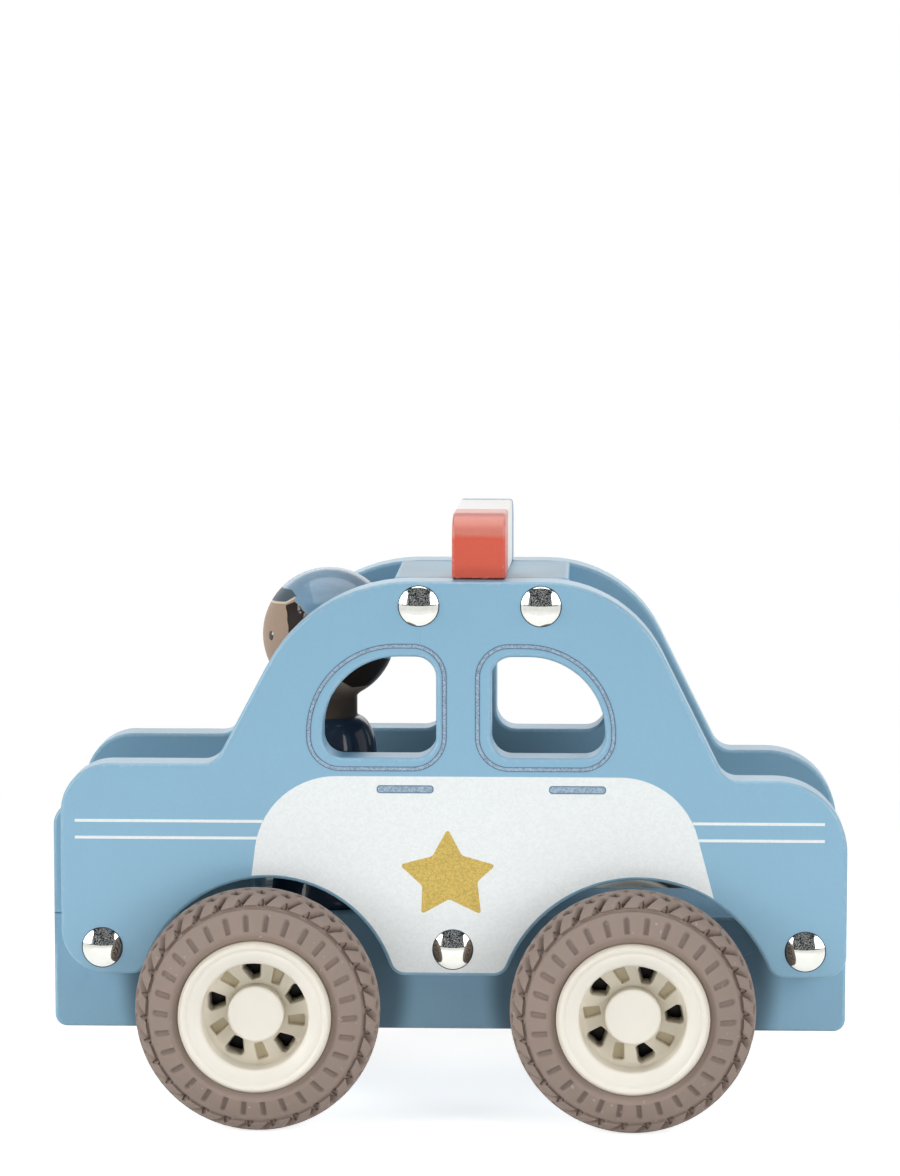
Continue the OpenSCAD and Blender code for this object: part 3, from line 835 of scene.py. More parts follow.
def crossing(outline, z, forward):
    """Foremost or rearmost x at which an outline crosses height z."""
    found = []
    for (x0, z0), (x1, z1) in zip(outline, outline[1:] + outline[:1]):
        if (z0 - z) * (z1 - z) < 0:
            found.append(x0 + (x1 - x0) * (z - z0) / (z1 - z0))
    return max(found) if forward else min(found)


STAR = (
    (0.0, 1.0), (-0.285, 0.461), (-0.961, 0.269), (-0.593, -0.067), (-0.67, -0.733),
    (-0.033, -0.421), (0.526, -0.733), (0.506, -0.159), (0.961, 0.269), (0.302, 0.445),
)


def star_outline(x, z, r):
    """Hand-cut five-pointed star with soft inner corners."""
    shape = [(x + r * sx, z + r * sz, 0.45 if i % 2 == 0 else 1.2) for i, (sx, sz) in enumerate(STAR)]
    return rounded(shape, 12)


def window_outline(out, front):
    """Window outline, out millimetres outside the opening."""
    w, h = WINDOW_W, WINDOW_H
    small, big = WINDOW_SMALL + out, WINDOW_BIG + out
    points = rounded(
        [(-out, -out, small), (w + out, -out, small), (w + out, h + out, big), (-out, h + out, small)], 4
    )
    post = PANEL_MID - POST_BACK
    turn = 1 if front else -1
    return [(post + turn * (POST_W / 2 + x), PANEL_FOOT + SILL + z) for x, z in points]


class TOYCAR_OT_prints(bpy.types.Operator):
    """White doors and stripes, gold stars and silver trims printed on both panels"""

    bl_idname = "toycar.prints"
    bl_label = "Printed Doors"

    def execute(self, context):
        settings = context.scene.toy_car.prints
        white, gold, silver, dark = (bmesh.new() for _ in range(4))
        door = door_outline(settings.margin / MM)
        star = star_outline(PANEL_MID + STAR_X, PANEL_FOOT + STAR_Z, settings.star_r / MM)
        half = settings.stripe_w / MM / 2
        bar_l, bar_w = settings.handle_l / MM, settings.handle_w / MM
        gap, ring = settings.ring_gap / MM, settings.ring_w / MM
        shift, line = settings.ring_shift / MM, settings.outline_w / MM
        for side in (1, -1):
            sheet(white, door, side, -INK, INK)
            for z in (PANEL_FOOT + up for up in STRIPE_ZS):
                for forward, end in ((True, PANEL_MID + STRIPE_FRONT), (False, PANEL_MID + STRIPE_REAR)):
                    start = crossing(door, z, forward)
                    stripe = [(start, z - half), (end, z - half), (end, z + half), (start, z + half)]
                    sheet(white, stripe, side, -INK, INK)
            sheet(gold, star, side, 0.0, 2 * INK)
            for x in HANDLE_XS:
                for bm, inset, top in ((dark, 0.0, 0.1), (silver, line, 0.13)):
                    half_l, half_w = bar_l / 2 - inset, bar_w / 2 - inset
                    signs = ((-1, -1), (1, -1), (1, 1), (-1, 1))
                    bar = rounded([(sx * half_l, sz * half_w, half_w * 0.84) for sx, sz in signs], 15)
                    sheet(bm, moved(bar, PANEL_MID + x, PANEL_FOOT + HANDLE_Z), side, 0.0, top)
            for front in (True, False):
                for bm, inset, top in ((dark, 0.0, 0.06), (silver, line, 0.09)):
                    outer = moved(window_outline(gap + ring - inset, front), shift, 0.0)
                    inner = moved(window_outline(gap + inset, front), shift, 0.0)
                    sheet(bm, outer, side, -INK, top, inner)
        inks = (
            ("door_prints", white, ink("white_door_ink", settings.white, 0.07, 2400.0, 0.0, 0.42)),
            ("star_prints", gold, ink("gold_star_ink", settings.gold, 0.4, 3600.0, 0.2, 0.42)),
            ("trim_prints", silver, ink("silver_trim_ink", settings.silver, 0.7, 4200.0, 0.2, 0.42)),
            ("trim_outlines", dark, ink("trim_outline_ink", settings.outline, 0.5, 3600.0, 0.0, 0.4)),
        )
        for name, bm, made in inks:
            piece(finish_mesh(name, bm, [made], merge=1e-8, smooth=False), BODY, "blue_paint")
        return {"FINISHED"}


def geometry_tree(name, inputs):
    """Geometry Nodes tree that takes a shape, the inputs {name: kind} and a finish.
    Returns the tree, its inputs' sockets and its output node."""
    tree = bpy.data.node_groups.new(name, "GeometryNodeTree")
    tree.is_modifier = True
    for label, kind in {"Geometry": "Geometry", **inputs, "Finish": "Material"}.items():
        tree.interface.new_socket(label, in_out="INPUT", socket_type=f"NodeSocket{kind}")
    tree.interface.new_socket("Geometry", in_out="OUTPUT", socket_type="NodeSocketGeometry")
    return tree, tree.nodes.new("NodeGroupInput").outputs, tree.nodes.new("NodeGroupOutput")


def step(tree, kind, **inputs):
    """Adds a Geometry Nodes step; returns its first output."""
    return feed(tree.nodes.new(f"GeometryNode{kind}"), **inputs)[0]


def nail_tree():
    """Geometry Nodes tree that sets a nail on every point of a mesh."""
    tree, given, end = geometry_tree("nails_on_points", {"Nail": "Object", "Turn": "Vector"})
    nail = after("GeometryNodeObjectInfo", {"Object": given["Nail"]})["Geometry"]
    shape = step(tree, "InstanceOnPoints", points=given["Geometry"], instance=nail, rotation=given["Turn"])
    shape = step(tree, "RealizeInstances", geometry=shape)
    feed(end, geometry=step(tree, "SetMaterial", geometry=shape, material=given["Finish"]))
    return tree


def run_tree(obj, tree, values):
    """Runs a Geometry Nodes tree on obj, its inputs set by the identifiers of their sockets, and settles it."""
    modifier = obj.modifiers.new(tree.name, "NODES")
    modifier.node_group = tree
    for item in tree.interface.items_tree:
        if item.item_type == "SOCKET" and item.in_out == "INPUT" and item.name in values:
            modifier[item.identifier] = values[item.name]
    settle(obj)


# Shares of a nail's full dome at which its polished cap and its rim end; from the rim outwards the head is painted
# dark as a contact shadow
POLISHED, SHADOW_RIM = 0.935, 0.95


class TOYCAR_OT_nails(bpy.types.Operator):
    """Polished dome nails in both panels"""

    bl_idname = "toycar.nails"
    bl_label = "Dome Nails"

    def execute(self, context):
        settings = context.scene.toy_car.nails
        r, h, shank = settings.head_d / 2 / MM, settings.head_h / MM, settings.shank_d / 2 / MM
        dome = (r * r + h * h) / (2 * h)
        reach = math.degrees(math.asin(r / dome))
        low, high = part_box("left_sill_nails")
        length = (high.y - low.y) / MM - h
        profile = [(0, h)]
        for share in [POLISHED * i / 15 for i in range(1, 16)] + [SHADOW_RIM]:
            a = math.radians(reach * share)
            profile.append((dome * math.sin(a), h - dome + dome * math.cos(a)))
        rim = len(profile) - 1
        profile += [(r, 0.05), (r * 0.985, 0.0), (shank, 0.0), (shank, 3 - length), (0, -length)]
        bm = bmesh.new()
        layer = bm.verts.layers.float.new("rim")
        rings = turned(bm, profile, 64)
        # These rings carry the painted contact shadow round the head.
        for v in rings[rim] + rings[rim + 1] + rings[rim + 2]:
            v[layer] = 1.0
        nail = finish_mesh("nail_template", bm)
        chrome = metal("nail_chrome", settings.chrome, 0.05, (1.0, 1.0, 1.0))
        tree = nail_tree()
        for side, sign in (("left", 1), ("right", -1)):
            turn = (math.radians(-90 * sign), 0, 0)
            for row, places in nail_places().items():
                bm = bmesh.new()
                for x, z in places:
                    bm.verts.new((x * MM, sign * FACE_Y * MM, z * MM))
                obj = finish_mesh(f"{side}_{row}_dome_nails", bm)
                run_tree(obj, tree, {"Nail": nail, "Turn": turn, "Finish": chrome})
                piece(obj, BODY, "nail_chrome", f"{side}_{row}_nails")
        bpy.data.objects.remove(nail)
        return {"FINISHED"}


def axle_end(spot):
    """front or rear, the end of the car that a wheel is at."""
    return spot.split("_")[0]


def wheel_place(spot):
    """Matrix that puts a wheel piece, made about Z with +Z outwards, on its axle."""
    low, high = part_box(f"{spot}_tyre")
    middle = (low + high) / 2
    side = 1 if middle.y > 0 else -1
    turn = Matrix.Rotation(math.radians(-90 * side), 4, "X")
    phase = math.radians(side * (SPOKE_PHASE[axle_end(spot)] - 180))
    return Matrix.Translation(middle) @ turn @ Matrix.Rotation(phase, 4, "Z")


CROWN_R, CROWN_A, TYRE_R = 7.331, 49.8, 25.0

# Sidewall slots as radius and half sizes; the tread's groove as middle, slant, half length and the widths of
# its two slopes; its notches as middle, shift round the tyre, slant, half length and half width
SLOT_R, SLOT_HALF = 19.1, (1.65, 0.55)
GROOVE = (4.75, 35.0, 2.5, 1.25, 0.45)
NEAR_NOTCH = ((2.4, 2.0, -70.0, 1.0, 0.5), (2.0, 2.0, 10.0, 0.6, 0.38))
FAR_NOTCH = (0.7, -0.4, 40.0, 0.7, 0.4)


def tyre_rows():
    """Section of a tyre as (radius, height, zone, place), from the outer bead round to the inner bead."""
    half = [(14.03, 7.6, "", 0.0), (15.3, 7.93, "", 0.0)]
    for i in range(9):
        t = i / 8
        mould_line = 0.1 if i == 3 else 0.0
        half.append((15.55 + 1.95 * t, 7.95 + 0.75 * math.sin(t * math.pi / 2) - mould_line, "", 0.0))
    for i in range(1, 20):
        t = i / 19
        r = 17.5 + 4.0 * t
        half.append((r, 8.7 - 2.25 * t + 0.2 * math.sin(math.pi * t), "wall", r))
    step = ((21.6, 6.36), (21.66, 6.1), (21.67, 5.7), (21.72, 5.35), (21.88, 5.15), (22.1, 5.12), (22.32, 5.3))
    half += [(r, z, "tread" if r > 22 else "", 6.45) for r, z in step]
    for i in range(28):
        a = math.radians(CROWN_A * (1 - i / 27))
        half.append((TYRE_R - CROWN_R + CROWN_R * math.cos(a), CROWN_R * math.sin(a), "tread", CROWN_R * a))
    back = [(r, -z, zone, -s if zone == "tread" else s) for r, z, zone, s in reversed(half[:-1])]
    return half + back


def soft_box(x, y, half_x, half_y, r, fade):
    """1 inside a rounded box, falling to 0 across fade at its edge."""
    qx, qy = abs(x) - half_x + r, abs(y) - half_y + r
    gap = math.hypot(max(qx, 0), max(qy, 0)) + min(max(qx, qy), 0) - r
    t = min(max(0.5 - gap / fade, 0), 1)
    return t * t * (3 - 2 * t)


def tread_mark(s, t, middle, shift, slant, half_l, half_w):
    """Depth share of one slanted tread mark at place s from the crown and t round the tyre."""
    c, d = math.cos(math.radians(slant)), math.sin(math.radians(slant))
    s, t = s - middle, t - shift
    return soft_box(c * s + d * t, c * t - d * s, half_l, half_w, half_w, 0.3)


def tread_wedge(s, t, middle, slant, half_l, gentle, steep):
    """Depth share of a slanted groove that falls gently on one side and rises steeply on the other."""
    c, d = math.cos(math.radians(slant)), math.sin(math.radians(slant))
    along, across = c * (s - middle) + d * t, c * t - d * (s - middle)
    slope = 1 - across / gentle if across > 0 else 1 + across / steep
    return max(slope, 0) * soft_box(along, 0, half_l, 1, 0.6, 0.6)


def tyre_depth(settings, zone, place_s, outer, angle, radius):
    """Depth in millimetres of the moulded marks at a point of the tyre, and the darkness of their painted shade."""
    pitch = 360 / settings.tread_count
    angle = angle if outer else angle + pitch / 2
    deep = tone = 0.0
    for lap in (-1, 0, 1):
        t = math.radians((angle + pitch / 2) % pitch - pitch / 2 + lap * pitch) * radius
        if zone == "wall":
            slot = soft_box(place_s - SLOT_R, t, *SLOT_HALF, 0.5, 0.2)
            deep, tone = max(deep, settings.slot_deep * slot), max(tone, 0.4 * slot)
        elif zone == "tread":
            s = abs(place_s)
            groove = tread_wedge(s, t, *GROOVE)
            near = max(tread_mark(s, t, *mark) for mark in NEAR_NOTCH)
            far = tread_mark(s, t, *FAR_NOTCH)
            deep = max(deep, settings.groove_deep * groove, settings.notch_deep * max(near, far))
            tone = max(tone, groove * groove, near, far)
    return deep / MM, tone


def tyre_sector(settings, columns=24):
    """One pitch of a tyre as a plain mesh, with the painted shade of its marks as an attribute."""
    rows = tyre_rows()
    pitch = 360 / settings.tread_count
    points, tones, faces = [], [], []
    count = len(rows)
    for i, (r, z, zone, s) in enumerate(rows):
        (r0, z0, *_), (r1, z1, *_) = rows[i - 1], rows[(i + 1) % count]
        along = Vector((r1 - r0, z1 - z0)).normalized()
        out = Vector((-along.y, along.x))
        for j in range(columns + 1):
            angle = -pitch / 2 + pitch * j / columns
            deep, tone = tyre_depth(settings, zone, s, z > 0, angle, r) if zone else (0.0, 0.0)
            rr, zz = r - out.x * deep, z - out.y * deep
            a = math.radians(angle)
            points.append((rr * math.cos(a) * MM, rr * math.sin(a) * MM, zz * MM))
            tones.append(tone)
    wide = columns + 1
    for i in range(count):
        k = (i + 1) % count
        for j in range(columns):
            faces.append((i * wide + j, i * wide + j + 1, k * wide + j + 1, k * wide + j))
    mesh = bpy.data.meshes.new("tyre_sector")
    mesh.from_pydata(points, [], faces)
    # hollow carries the painted shade in the slots and grooves.
    layer = mesh.attributes.new("hollow", "FLOAT", "POINT")
    layer.data.foreach_set("value", tones)
    return mesh


def ring_tree():
    """Geometry Nodes tree that repeats a sector round Z and welds the copies into a ring."""
    tree, given, end = geometry_tree("ring_of_sectors", {"Count": "Int", "Weld": "Float"})
    points = step(tree, "Points", count=given["Count"])
    pitch = maths("DIVIDE", 2 * math.pi, given["Count"])
    index = tree.nodes.new("GeometryNodeInputIndex").outputs[0]
    turn = after("ShaderNodeCombineXYZ", {"Z": times(index, pitch)})["Vector"]
    shape = step(tree, "InstanceOnPoints", points=points, instance=given["Geometry"], rotation=turn)
    shape = step(tree, "RealizeInstances", geometry=shape)
    shape = step(tree, "MergeByDistance", geometry=shape, distance=given["Weld"])
    shape = step(tree, "SetShadeSmooth", geometry=shape)
    feed(end, geometry=step(tree, "SetMaterial", geometry=shape, material=given["Finish"]))
    return tree


class TOYCAR_OT_tyres(bpy.types.Operator):
    """Soft tyres with sidewall slots, slanted grooves and notches"""

    bl_idname = "toycar.tyres"
    bl_label = "Tyres"

    def execute(self, context):
        settings = context.scene.toy_car.wheels
        sector = tyre_sector(settings)
        tree = ring_tree()
        for spot in CORNERS:
            obj = add_object(f"{spot}_soft_tyre", sector.copy())
            run_tree(obj, tree, {"Count": settings.tread_count, "Weld": 2e-7, "Finish": tyre_rubber()})
            bm = bmesh.new()
            bm.from_mesh(obj.data)
            bmesh.ops.recalc_face_normals(bm, faces=bm.faces)
            bm.to_mesh(obj.data)
            bm.free()
            obj.data.transform(wheel_place(spot))
            piece(obj, axle_end(spot) + "_wheels", "tyre_rubber", f"{spot}_tyre")
        bpy.data.meshes.remove(sector)
        return {"FINISHED"}


# The rims and hub caps, in millimetres
LIP_Z, EYE_R, RIM_R, DRUM_R, FLANGE_Z = 10.0, 10.9, 15.5, 14.0, 8.0
WEB_TOP, WEB_LOW, POCKET_FLOOR, SHADE_DISC_Z, FILLET = 2.0, -2.0, 0.2, -4.5, 1.2
BOSS_R, BORE_R, CAP_TOP, CAP_BORE, CAP_ROUND = 5.5, 2.03, 6.0, 4.6, 0.55
RING, SPOKE_LEAN, VENT_NARROWS = 120, 14, -0.45

# Lip of a rim, as (distance out from the eye, height)
LIP = (
    (0.0, 7.6), (0.06, 8.2), (0.4, 8.75), (1.1, 9.2), (2.0, 9.58), (2.5, 9.62), (2.9, 9.58),
    (3.25, 9.84), (3.65, LIP_Z - 0.02), (4.0, 9.85), (4.25, 9.5), (4.48, 9.0),
)


def web_rise(x, y):
    """Rise of the web's outer face where it curves up into the drum."""
    out = min(max(math.hypot(x, y) - EYE_R + FILLET, 0), FILLET)
    return FILLET - math.sqrt(FILLET**2 - out**2)


def web_opening(w0, w1, r0, r1, turn, tip_r, end_r):
    """Leaning rounded opening in the web, w0 wide at the hub and w1 wide at the drum."""
    corners = [(r0, -w0 / 2, tip_r), (r1, -w1 / 2, end_r), (r1, w1 / 2, end_r), (r0, w0 / 2, tip_r)]
    middle = (r0 + r1) / 2
    points = []
    for x, y in rounded(corners, 14):
        local = Matrix.Rotation(math.radians(SPOKE_LEAN), 2) @ Vector((x - middle, y)) + Vector((middle, 0))
        local = Matrix.Rotation(math.radians(turn), 2) @ local
        points.append((local.x, local.y))
    return points


def grown(points, out):
    """Outline moved outwards by out; points run counter-clockwise."""
    made = []
    n = len(points)
    for i in range(n):
        a, b = Vector(points[i - 1]), Vector(points[(i + 1) % n])
        along = (b - a).normalized()
        made.append((points[i][0] + along.y * out, points[i][1] - along.x * out))
    return made


def inside(outline, x, y):
    hit = False
    for (x0, y0), (x1, y1) in zip(outline, outline[1:] + outline[:1]):
        if (y0 > y) != (y1 > y) and x < x0 + (x1 - x0) * (y - y0) / (y1 - y0):
            hit = not hit
    return hit


def web_face(bm, r_out, r_in, holes, z, up):
    """Ring with holes, filled with triangles; the upper one curves up at its outer edge."""
    points, edges = [], []

    def loop(outline):
        base = len(points)
        points.extend(Vector(p) for p in outline)
        edges.extend((base + i, base + (i + 1) % len(outline)) for i in range(len(outline)))

    for outline in [around(r_out, RING), around(r_in, RING), *holes]:
        loop(outline)
    if up:
        margins = [grown(h, 0.12) for h in holes]
        for k in range(1, 7):
            r = r_out - FILLET + FILLET * math.sin(math.radians(90 * k / 7))
            points.extend(Vector(p) for p in around(r, RING) if not any(inside(h, *p) for h in margins))
    verts, _, faces, *_ = delaunay_2d_cdt(points, edges, [], 0, 1e-6)
    made = [bm.verts.new((v.x * MM, v.y * MM, (z + (web_rise(*v) if up else 0)) * MM)) for v in verts]
    for face in faces:
        middle = sum((verts[i] for i in face), Vector((0, 0))) / len(face)
        if not r_in * 0.9995 < middle.length < r_out * 0.9999 or any(inside(h, *middle) for h in holes):
            continue
        bm.faces.new([made[i] for i in (face if up else reversed(face))])


def opening_wall(bm, outline, edge, foot):
    """Wall of a web opening below a rounded edge; foot lists its lower levels as (height, grow)."""
    turns = [math.radians(90 * i / 4) for i in range(5)]
    levels = [(WEB_TOP - edge * (1 - math.cos(a)), edge * (1 - math.sin(a)), 1) for a in turns]
    rings = []
    for z, out, lifted in levels + [(z, out, 0) for z, out in foot]:
        ring = grown(outline, out)
        rings.append([bm.verts.new((x * MM, y * MM, (z + lifted * web_rise(x, y)) * MM)) for x, y in ring])
    join(bm, rings)
    return rings[-1]


def smooth_line(points, parts=6):
    """Catmull-Rom curve through points."""
    made = []
    for i in range(len(points) - 1):
        p0, p1 = points[max(i - 1, 0)], points[i]
        p2, p3 = points[i + 1], points[min(i + 2, len(points) - 1)]
        for k in range(parts):
            t = k / parts
            made.append(
                tuple(
                    0.5 * (2 * b + (c - a) * t + (2 * a - 5 * b + 4 * c - d) * t * t + (3 * b - a - 3 * c + d) * t**3)
                    for a, b, c, d in zip(p0, p1, p2, p3)
                )
            )
    return made + [points[-1]]


def clamped(value):
    return min(max(value, 0), 1)


def rim_hollow(r, z):
    """Painted shade of a rim at radius r and height z: in the eye, at the foot of the lip and in its valley."""
    if r < EYE_R + 0.3:
        return 0.35 * clamped((8.2 - z) / 6.0) + 0.65 * clamped((WEB_TOP - 0.3 - z) / 1.2)
    if r > RIM_R - 1.0:
        return 0.45 * (r - RIM_R + 1.0)
    if r > EYE_R + 2.4 and z > FLANGE_Z:
        return 0.09 * max(1 - abs(r - EYE_R - 2.95) / 0.4, 0)
    return 0.0


def rim_mesh(settings):
    """Rim with a dished lip, a deep drum and ten leaning spokes between openings and pockets."""
    bm = bmesh.new()
    edge = settings.spoke_round / MM
    lip = smooth_line([(EYE_R + out, z) for out, z in LIP] + [(RIM_R, 8.6)])
    inner_lip = [(r, -z) for r, z in reversed(lip + [(RIM_R, FLANGE_Z)])]
    outer = [(EYE_R, WEB_TOP + FILLET)] + lip + [(RIM_R, FLANGE_Z), (DRUM_R, FLANGE_Z), (DRUM_R, -FLANGE_Z)]
    turned(bm, outer + inner_lip + [(EYE_R, WEB_LOW)], RING)
    hub = [(BOSS_R, WEB_LOW), (BOSS_R, 0.3 - LIP_Z), (BOSS_R - 0.3, -LIP_Z), (BORE_R, -LIP_Z), (BORE_R, WEB_TOP)]
    turned(bm, hub, RING)
    vents = [web_opening(1.9, 4.7, 6.5, 10.2, 72 * i, 0.5, 0.9) for i in range(5)]
    pockets = [web_opening(1.75, 2.45, 6.55, 10.0, 72 * i + 36, 0.35, 0.4) for i in range(5)]
    web_face(bm, EYE_R, BORE_R, [grown(o, edge) for o in vents + pockets], WEB_TOP, True)
    web_face(bm, EYE_R, BOSS_R, [grown(o, VENT_NARROWS) for o in vents], WEB_LOW, False)
    for o in vents:
        opening_wall(bm, o, edge, [(WEB_LOW, VENT_NARROWS)])
    for o in pockets:
        bm.faces.new(opening_wall(bm, o, edge, [(POCKET_FLOOR + 0.2, -0.08), (POCKET_FLOOR, -0.25)]))
    bmesh.ops.remove_doubles(bm, verts=bm.verts, dist=2e-6)
    bmesh.ops.recalc_face_normals(bm, faces=bm.faces)
    # hollow carries the painted shade in the eye, at the lip's foot and in its valley.
    hollow = bm.verts.layers.float.new("hollow")
    for v in bm.verts:
        v[hollow] = rim_hollow(math.hypot(v.co.x, v.co.y) / MM, abs(v.co.z) / MM)
    # A near-black disc inside the drum stands for the shadow deep in the wheel.
    liner = bm.verts.layers.float.new("liner")
    inner, outside, low = BOSS_R - 0.1, EYE_R + 0.1, SHADE_DISC_Z - 0.4
    disc = [(inner, SHADE_DISC_Z), (outside, SHADE_DISC_Z), (outside, low), (inner, low), (inner, SHADE_DISC_Z)]
    for ring in turned(bm, disc, RING):
        for v in ring:
            v[liner] = 1.0
    return bm


def cap_mesh(r):
    """Hub cap of radius r with a slightly domed top."""
    bm = bmesh.new()
    crown = [(r * out, CAP_TOP - fall) for out, fall in ((0, 0), (0.35, 0.01), (0.7, 0.04))]
    crown.append((r - 0.6, CAP_TOP - 0.08))
    turns = [math.radians(a) for a in range(0, 91, 15)]
    middle = r - CAP_ROUND, CAP_TOP - 0.63
    brim = [(middle[0] + CAP_ROUND * math.sin(a), middle[1] + CAP_ROUND * math.cos(a)) for a in turns]
    foot = [(r, WEB_TOP), (BORE_R, WEB_TOP), (BORE_R, CAP_BORE), (0, CAP_BORE)]
    turned(bm, crown + brim + foot, 72)
    return bm


class TOYCAR_OT_rims(bpy.types.Operator):
    """Cream rims, hub caps, wheel spacers and steel axles"""

    bl_idname = "toycar.rims"
    bl_label = "Rims and Axles"

    def execute(self, context):
        settings = context.scene.toy_car.wheels
        cream = cream_plastic()
        low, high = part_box("front_left_hub_cap")
        cap_r = (high.x - low.x) / 2 / MM
        for spot in CORNERS:
            rim = finish_mesh(f"{spot}_cream_rim", rim_mesh(settings), [cream], outward=False)
            cap = finish_mesh(f"{spot}_cream_cap", cap_mesh(cap_r), [cream])
            for obj, solid in ((rim, f"{spot}_rim"), (cap, f"{spot}_hub_cap")):
                obj.data.transform(wheel_place(spot))
                piece(flat_normals(obj), axle_end(spot) + "_wheels", "rim_plastic", solid)
        dress(("front_axle_spacers", "rear_axle_spacers"), cream)
        dress(("front_axle", "rear_axle"), metal("axle_steel", settings.steel, 0.3, (1.0, 0.05, 1.0)))
        return {"FINISHED"}


# Height of the driver's collar under the middle of the head, in millimetres
COLLAR = -17.4


def driver_paint(settings):
    """Paint of the driver, laid out from the middle of the head: cap, visor, piping, hair, face and uniform."""
    made, tree, shader = material("driver_paint")
    head = Vector((DRIVER_X * MM, 0, DRIVER_TOP * MM - settings.head_d / 2))
    centred = mapped(tree, location=-head)
    x, _, z = split(centred)
    fore, up = times(x, 1 / MM), times(z, 1 / MM)
    wander = ramp(noise(place(tree), 420.0, 2.0), 0.3, 0.7, -0.16, 0.16)
    blur = 0.07

    def line(value, at, height, slope):
        return plus(times(minus(value, at), slope), height)

    def above(a, b):
        """1 where a is above b, with a soft edge."""
        return ramp(minus(a, b), -blur, blur)

    def near(a, b, reach):
        """1 where a is within reach of b."""
        return above(reach, magnitude(minus(a, b)))

    nape = larger(ramp(fore, -8.4, 8.4, -12.9, 0.0), -10.5)
    temple = plus(line(up, 6.96, 8.39, 0.157), wander)
    under_cap = times(above(up, nape), above(line(fore, 6.48, 7.8, -0.44), up))
    brow = larger(line(fore, 8.52, 7.37, -0.1), line(fore, 8.52, 7.37, -0.604))
    crown = plus(larger(line(fore, 4.38, 5.93, 0.89), line(fore, 4.38, 5.93, 0.64)), wander)
    front = above(fore, 6.52)
    behind = times(above(up, crown), minus(1.0, front))
    cap = larger(times(above(up, brow), front), behind)
    strokes = mapped(tree, scale=(0.35, 0.35, 1.0), rotation=(0, 0.35, 0))
    strokes = ramp(noise(strokes, 520.0, 3.0, 0.6), 0.35, 0.65)
    visor = times(above(up, brow), above(9.92, up), above(fore, line(up, 8.93, 6.37, 1.03)))
    scratches = ramp(noise(centred, 900.0, 3.0, 0.7), 0.5, 0.56)
    scratches = times(near(up, minus(crown, 0.5), 1.0), near(fore, 4.0, 1.9), scratches)
    # The neck is painted darker towards the collar as shade.
    skin = mix(ramp(up, -13.5, -8.0), shaded(settings.skin, 0.2), settings.skin)
    tint = mix(above(up, COLLAR), settings.uniform, skin)
    for mask, paint in (
        (times(above(temple, fore), under_cap), settings.hair),
        (times(near(fore, temple, 0.1), under_cap), shaded(settings.hair, 0.25)),
        (cap, mix(strokes, settings.cap, shaded(settings.cap, 1.14))),
        (visor, settings.visor),
        (times(near(up, brow, 0.19), above(fore, 6.5)), settings.piping),
        (scratches, srgb(158, 156, 150)),
    ):
        tint = mix(mask, tint, paint)
    film(shader, tint, 0.03, 0.025, 0.6, 0.06)
    glossy = larger(times(cap, minus(1.0, visor)), above(COLLAR, up))
    feed(shader, coat_weight=times(glossy, 0.5), coat_roughness=0.07, specular_ior_level=0.06)
    return made


def driver_profile(r, head_z, peg):
    """Profile of the driver from the foot of the peg up to the top of a head of radius r at head_z."""
    neck, chest, foot, shoulder, fall = 5.9, 10.0, 12.5, 39.6, 8.4
    profile = [(0, -peg), (7.4, -peg), (7.85, 0.15 - peg), (8.0, 0.6 - peg), (8.0, 0.0), (foot - 0.5, 0.0)]
    profile += [(foot - 0.15, 0.15), (foot, 0.5)]
    for i in range(25):
        t = i / 24
        profile.append((foot + (chest - foot) * math.sin(t * math.pi / 2), 1.5 + (shoulder - fall - 1.5) * t))
    for a in range(6, 85, 6):
        c, s = math.cos(math.radians(a)), math.sin(math.radians(a))
        profile.append((neck + (chest - neck) * c, shoulder - fall * (1 - s)))
    start = math.degrees(math.asin(neck / r))
    profile += [(neck + 0.12, shoulder + 0.1), (neck, shoulder + 0.6), (neck, head_z - r * 0.93)]
    for i in range(32):
        a = math.radians(start + 3 + (177 - start) * i / 32)
        profile.append((max(r * math.sin(a), 0), head_z - r * math.cos(a)))
    return profile + [(0, head_z + r)]


def painted_dot(bm, r, side, up, turn, wide, tall, lift):
    """Adds a low round dot on a head of radius r, turned to one side of its front."""
    local = Matrix.Rotation(math.radians(side * turn), 4, "Z") @ Matrix.Rotation(math.radians(-up), 4, "Y")
    rings = []
    for out, rise in ((0, lift), (0.6, lift), (0.9, lift * 0.7), (1.0, -0.1)):
        ring = []
        for i in range(20 if out else 1):
            a = 2 * math.pi * i / 20
            y, z = out * wide * math.cos(a), out * tall * math.sin(a)
            x = math.sqrt(r * r - y * y - z * z) + rise
            ring.append(bm.verts.new(local @ Vector((x, y, z)) * MM))
        rings.append(ring)
    join(bm, rings)
    bm.faces.new(rings[-1])


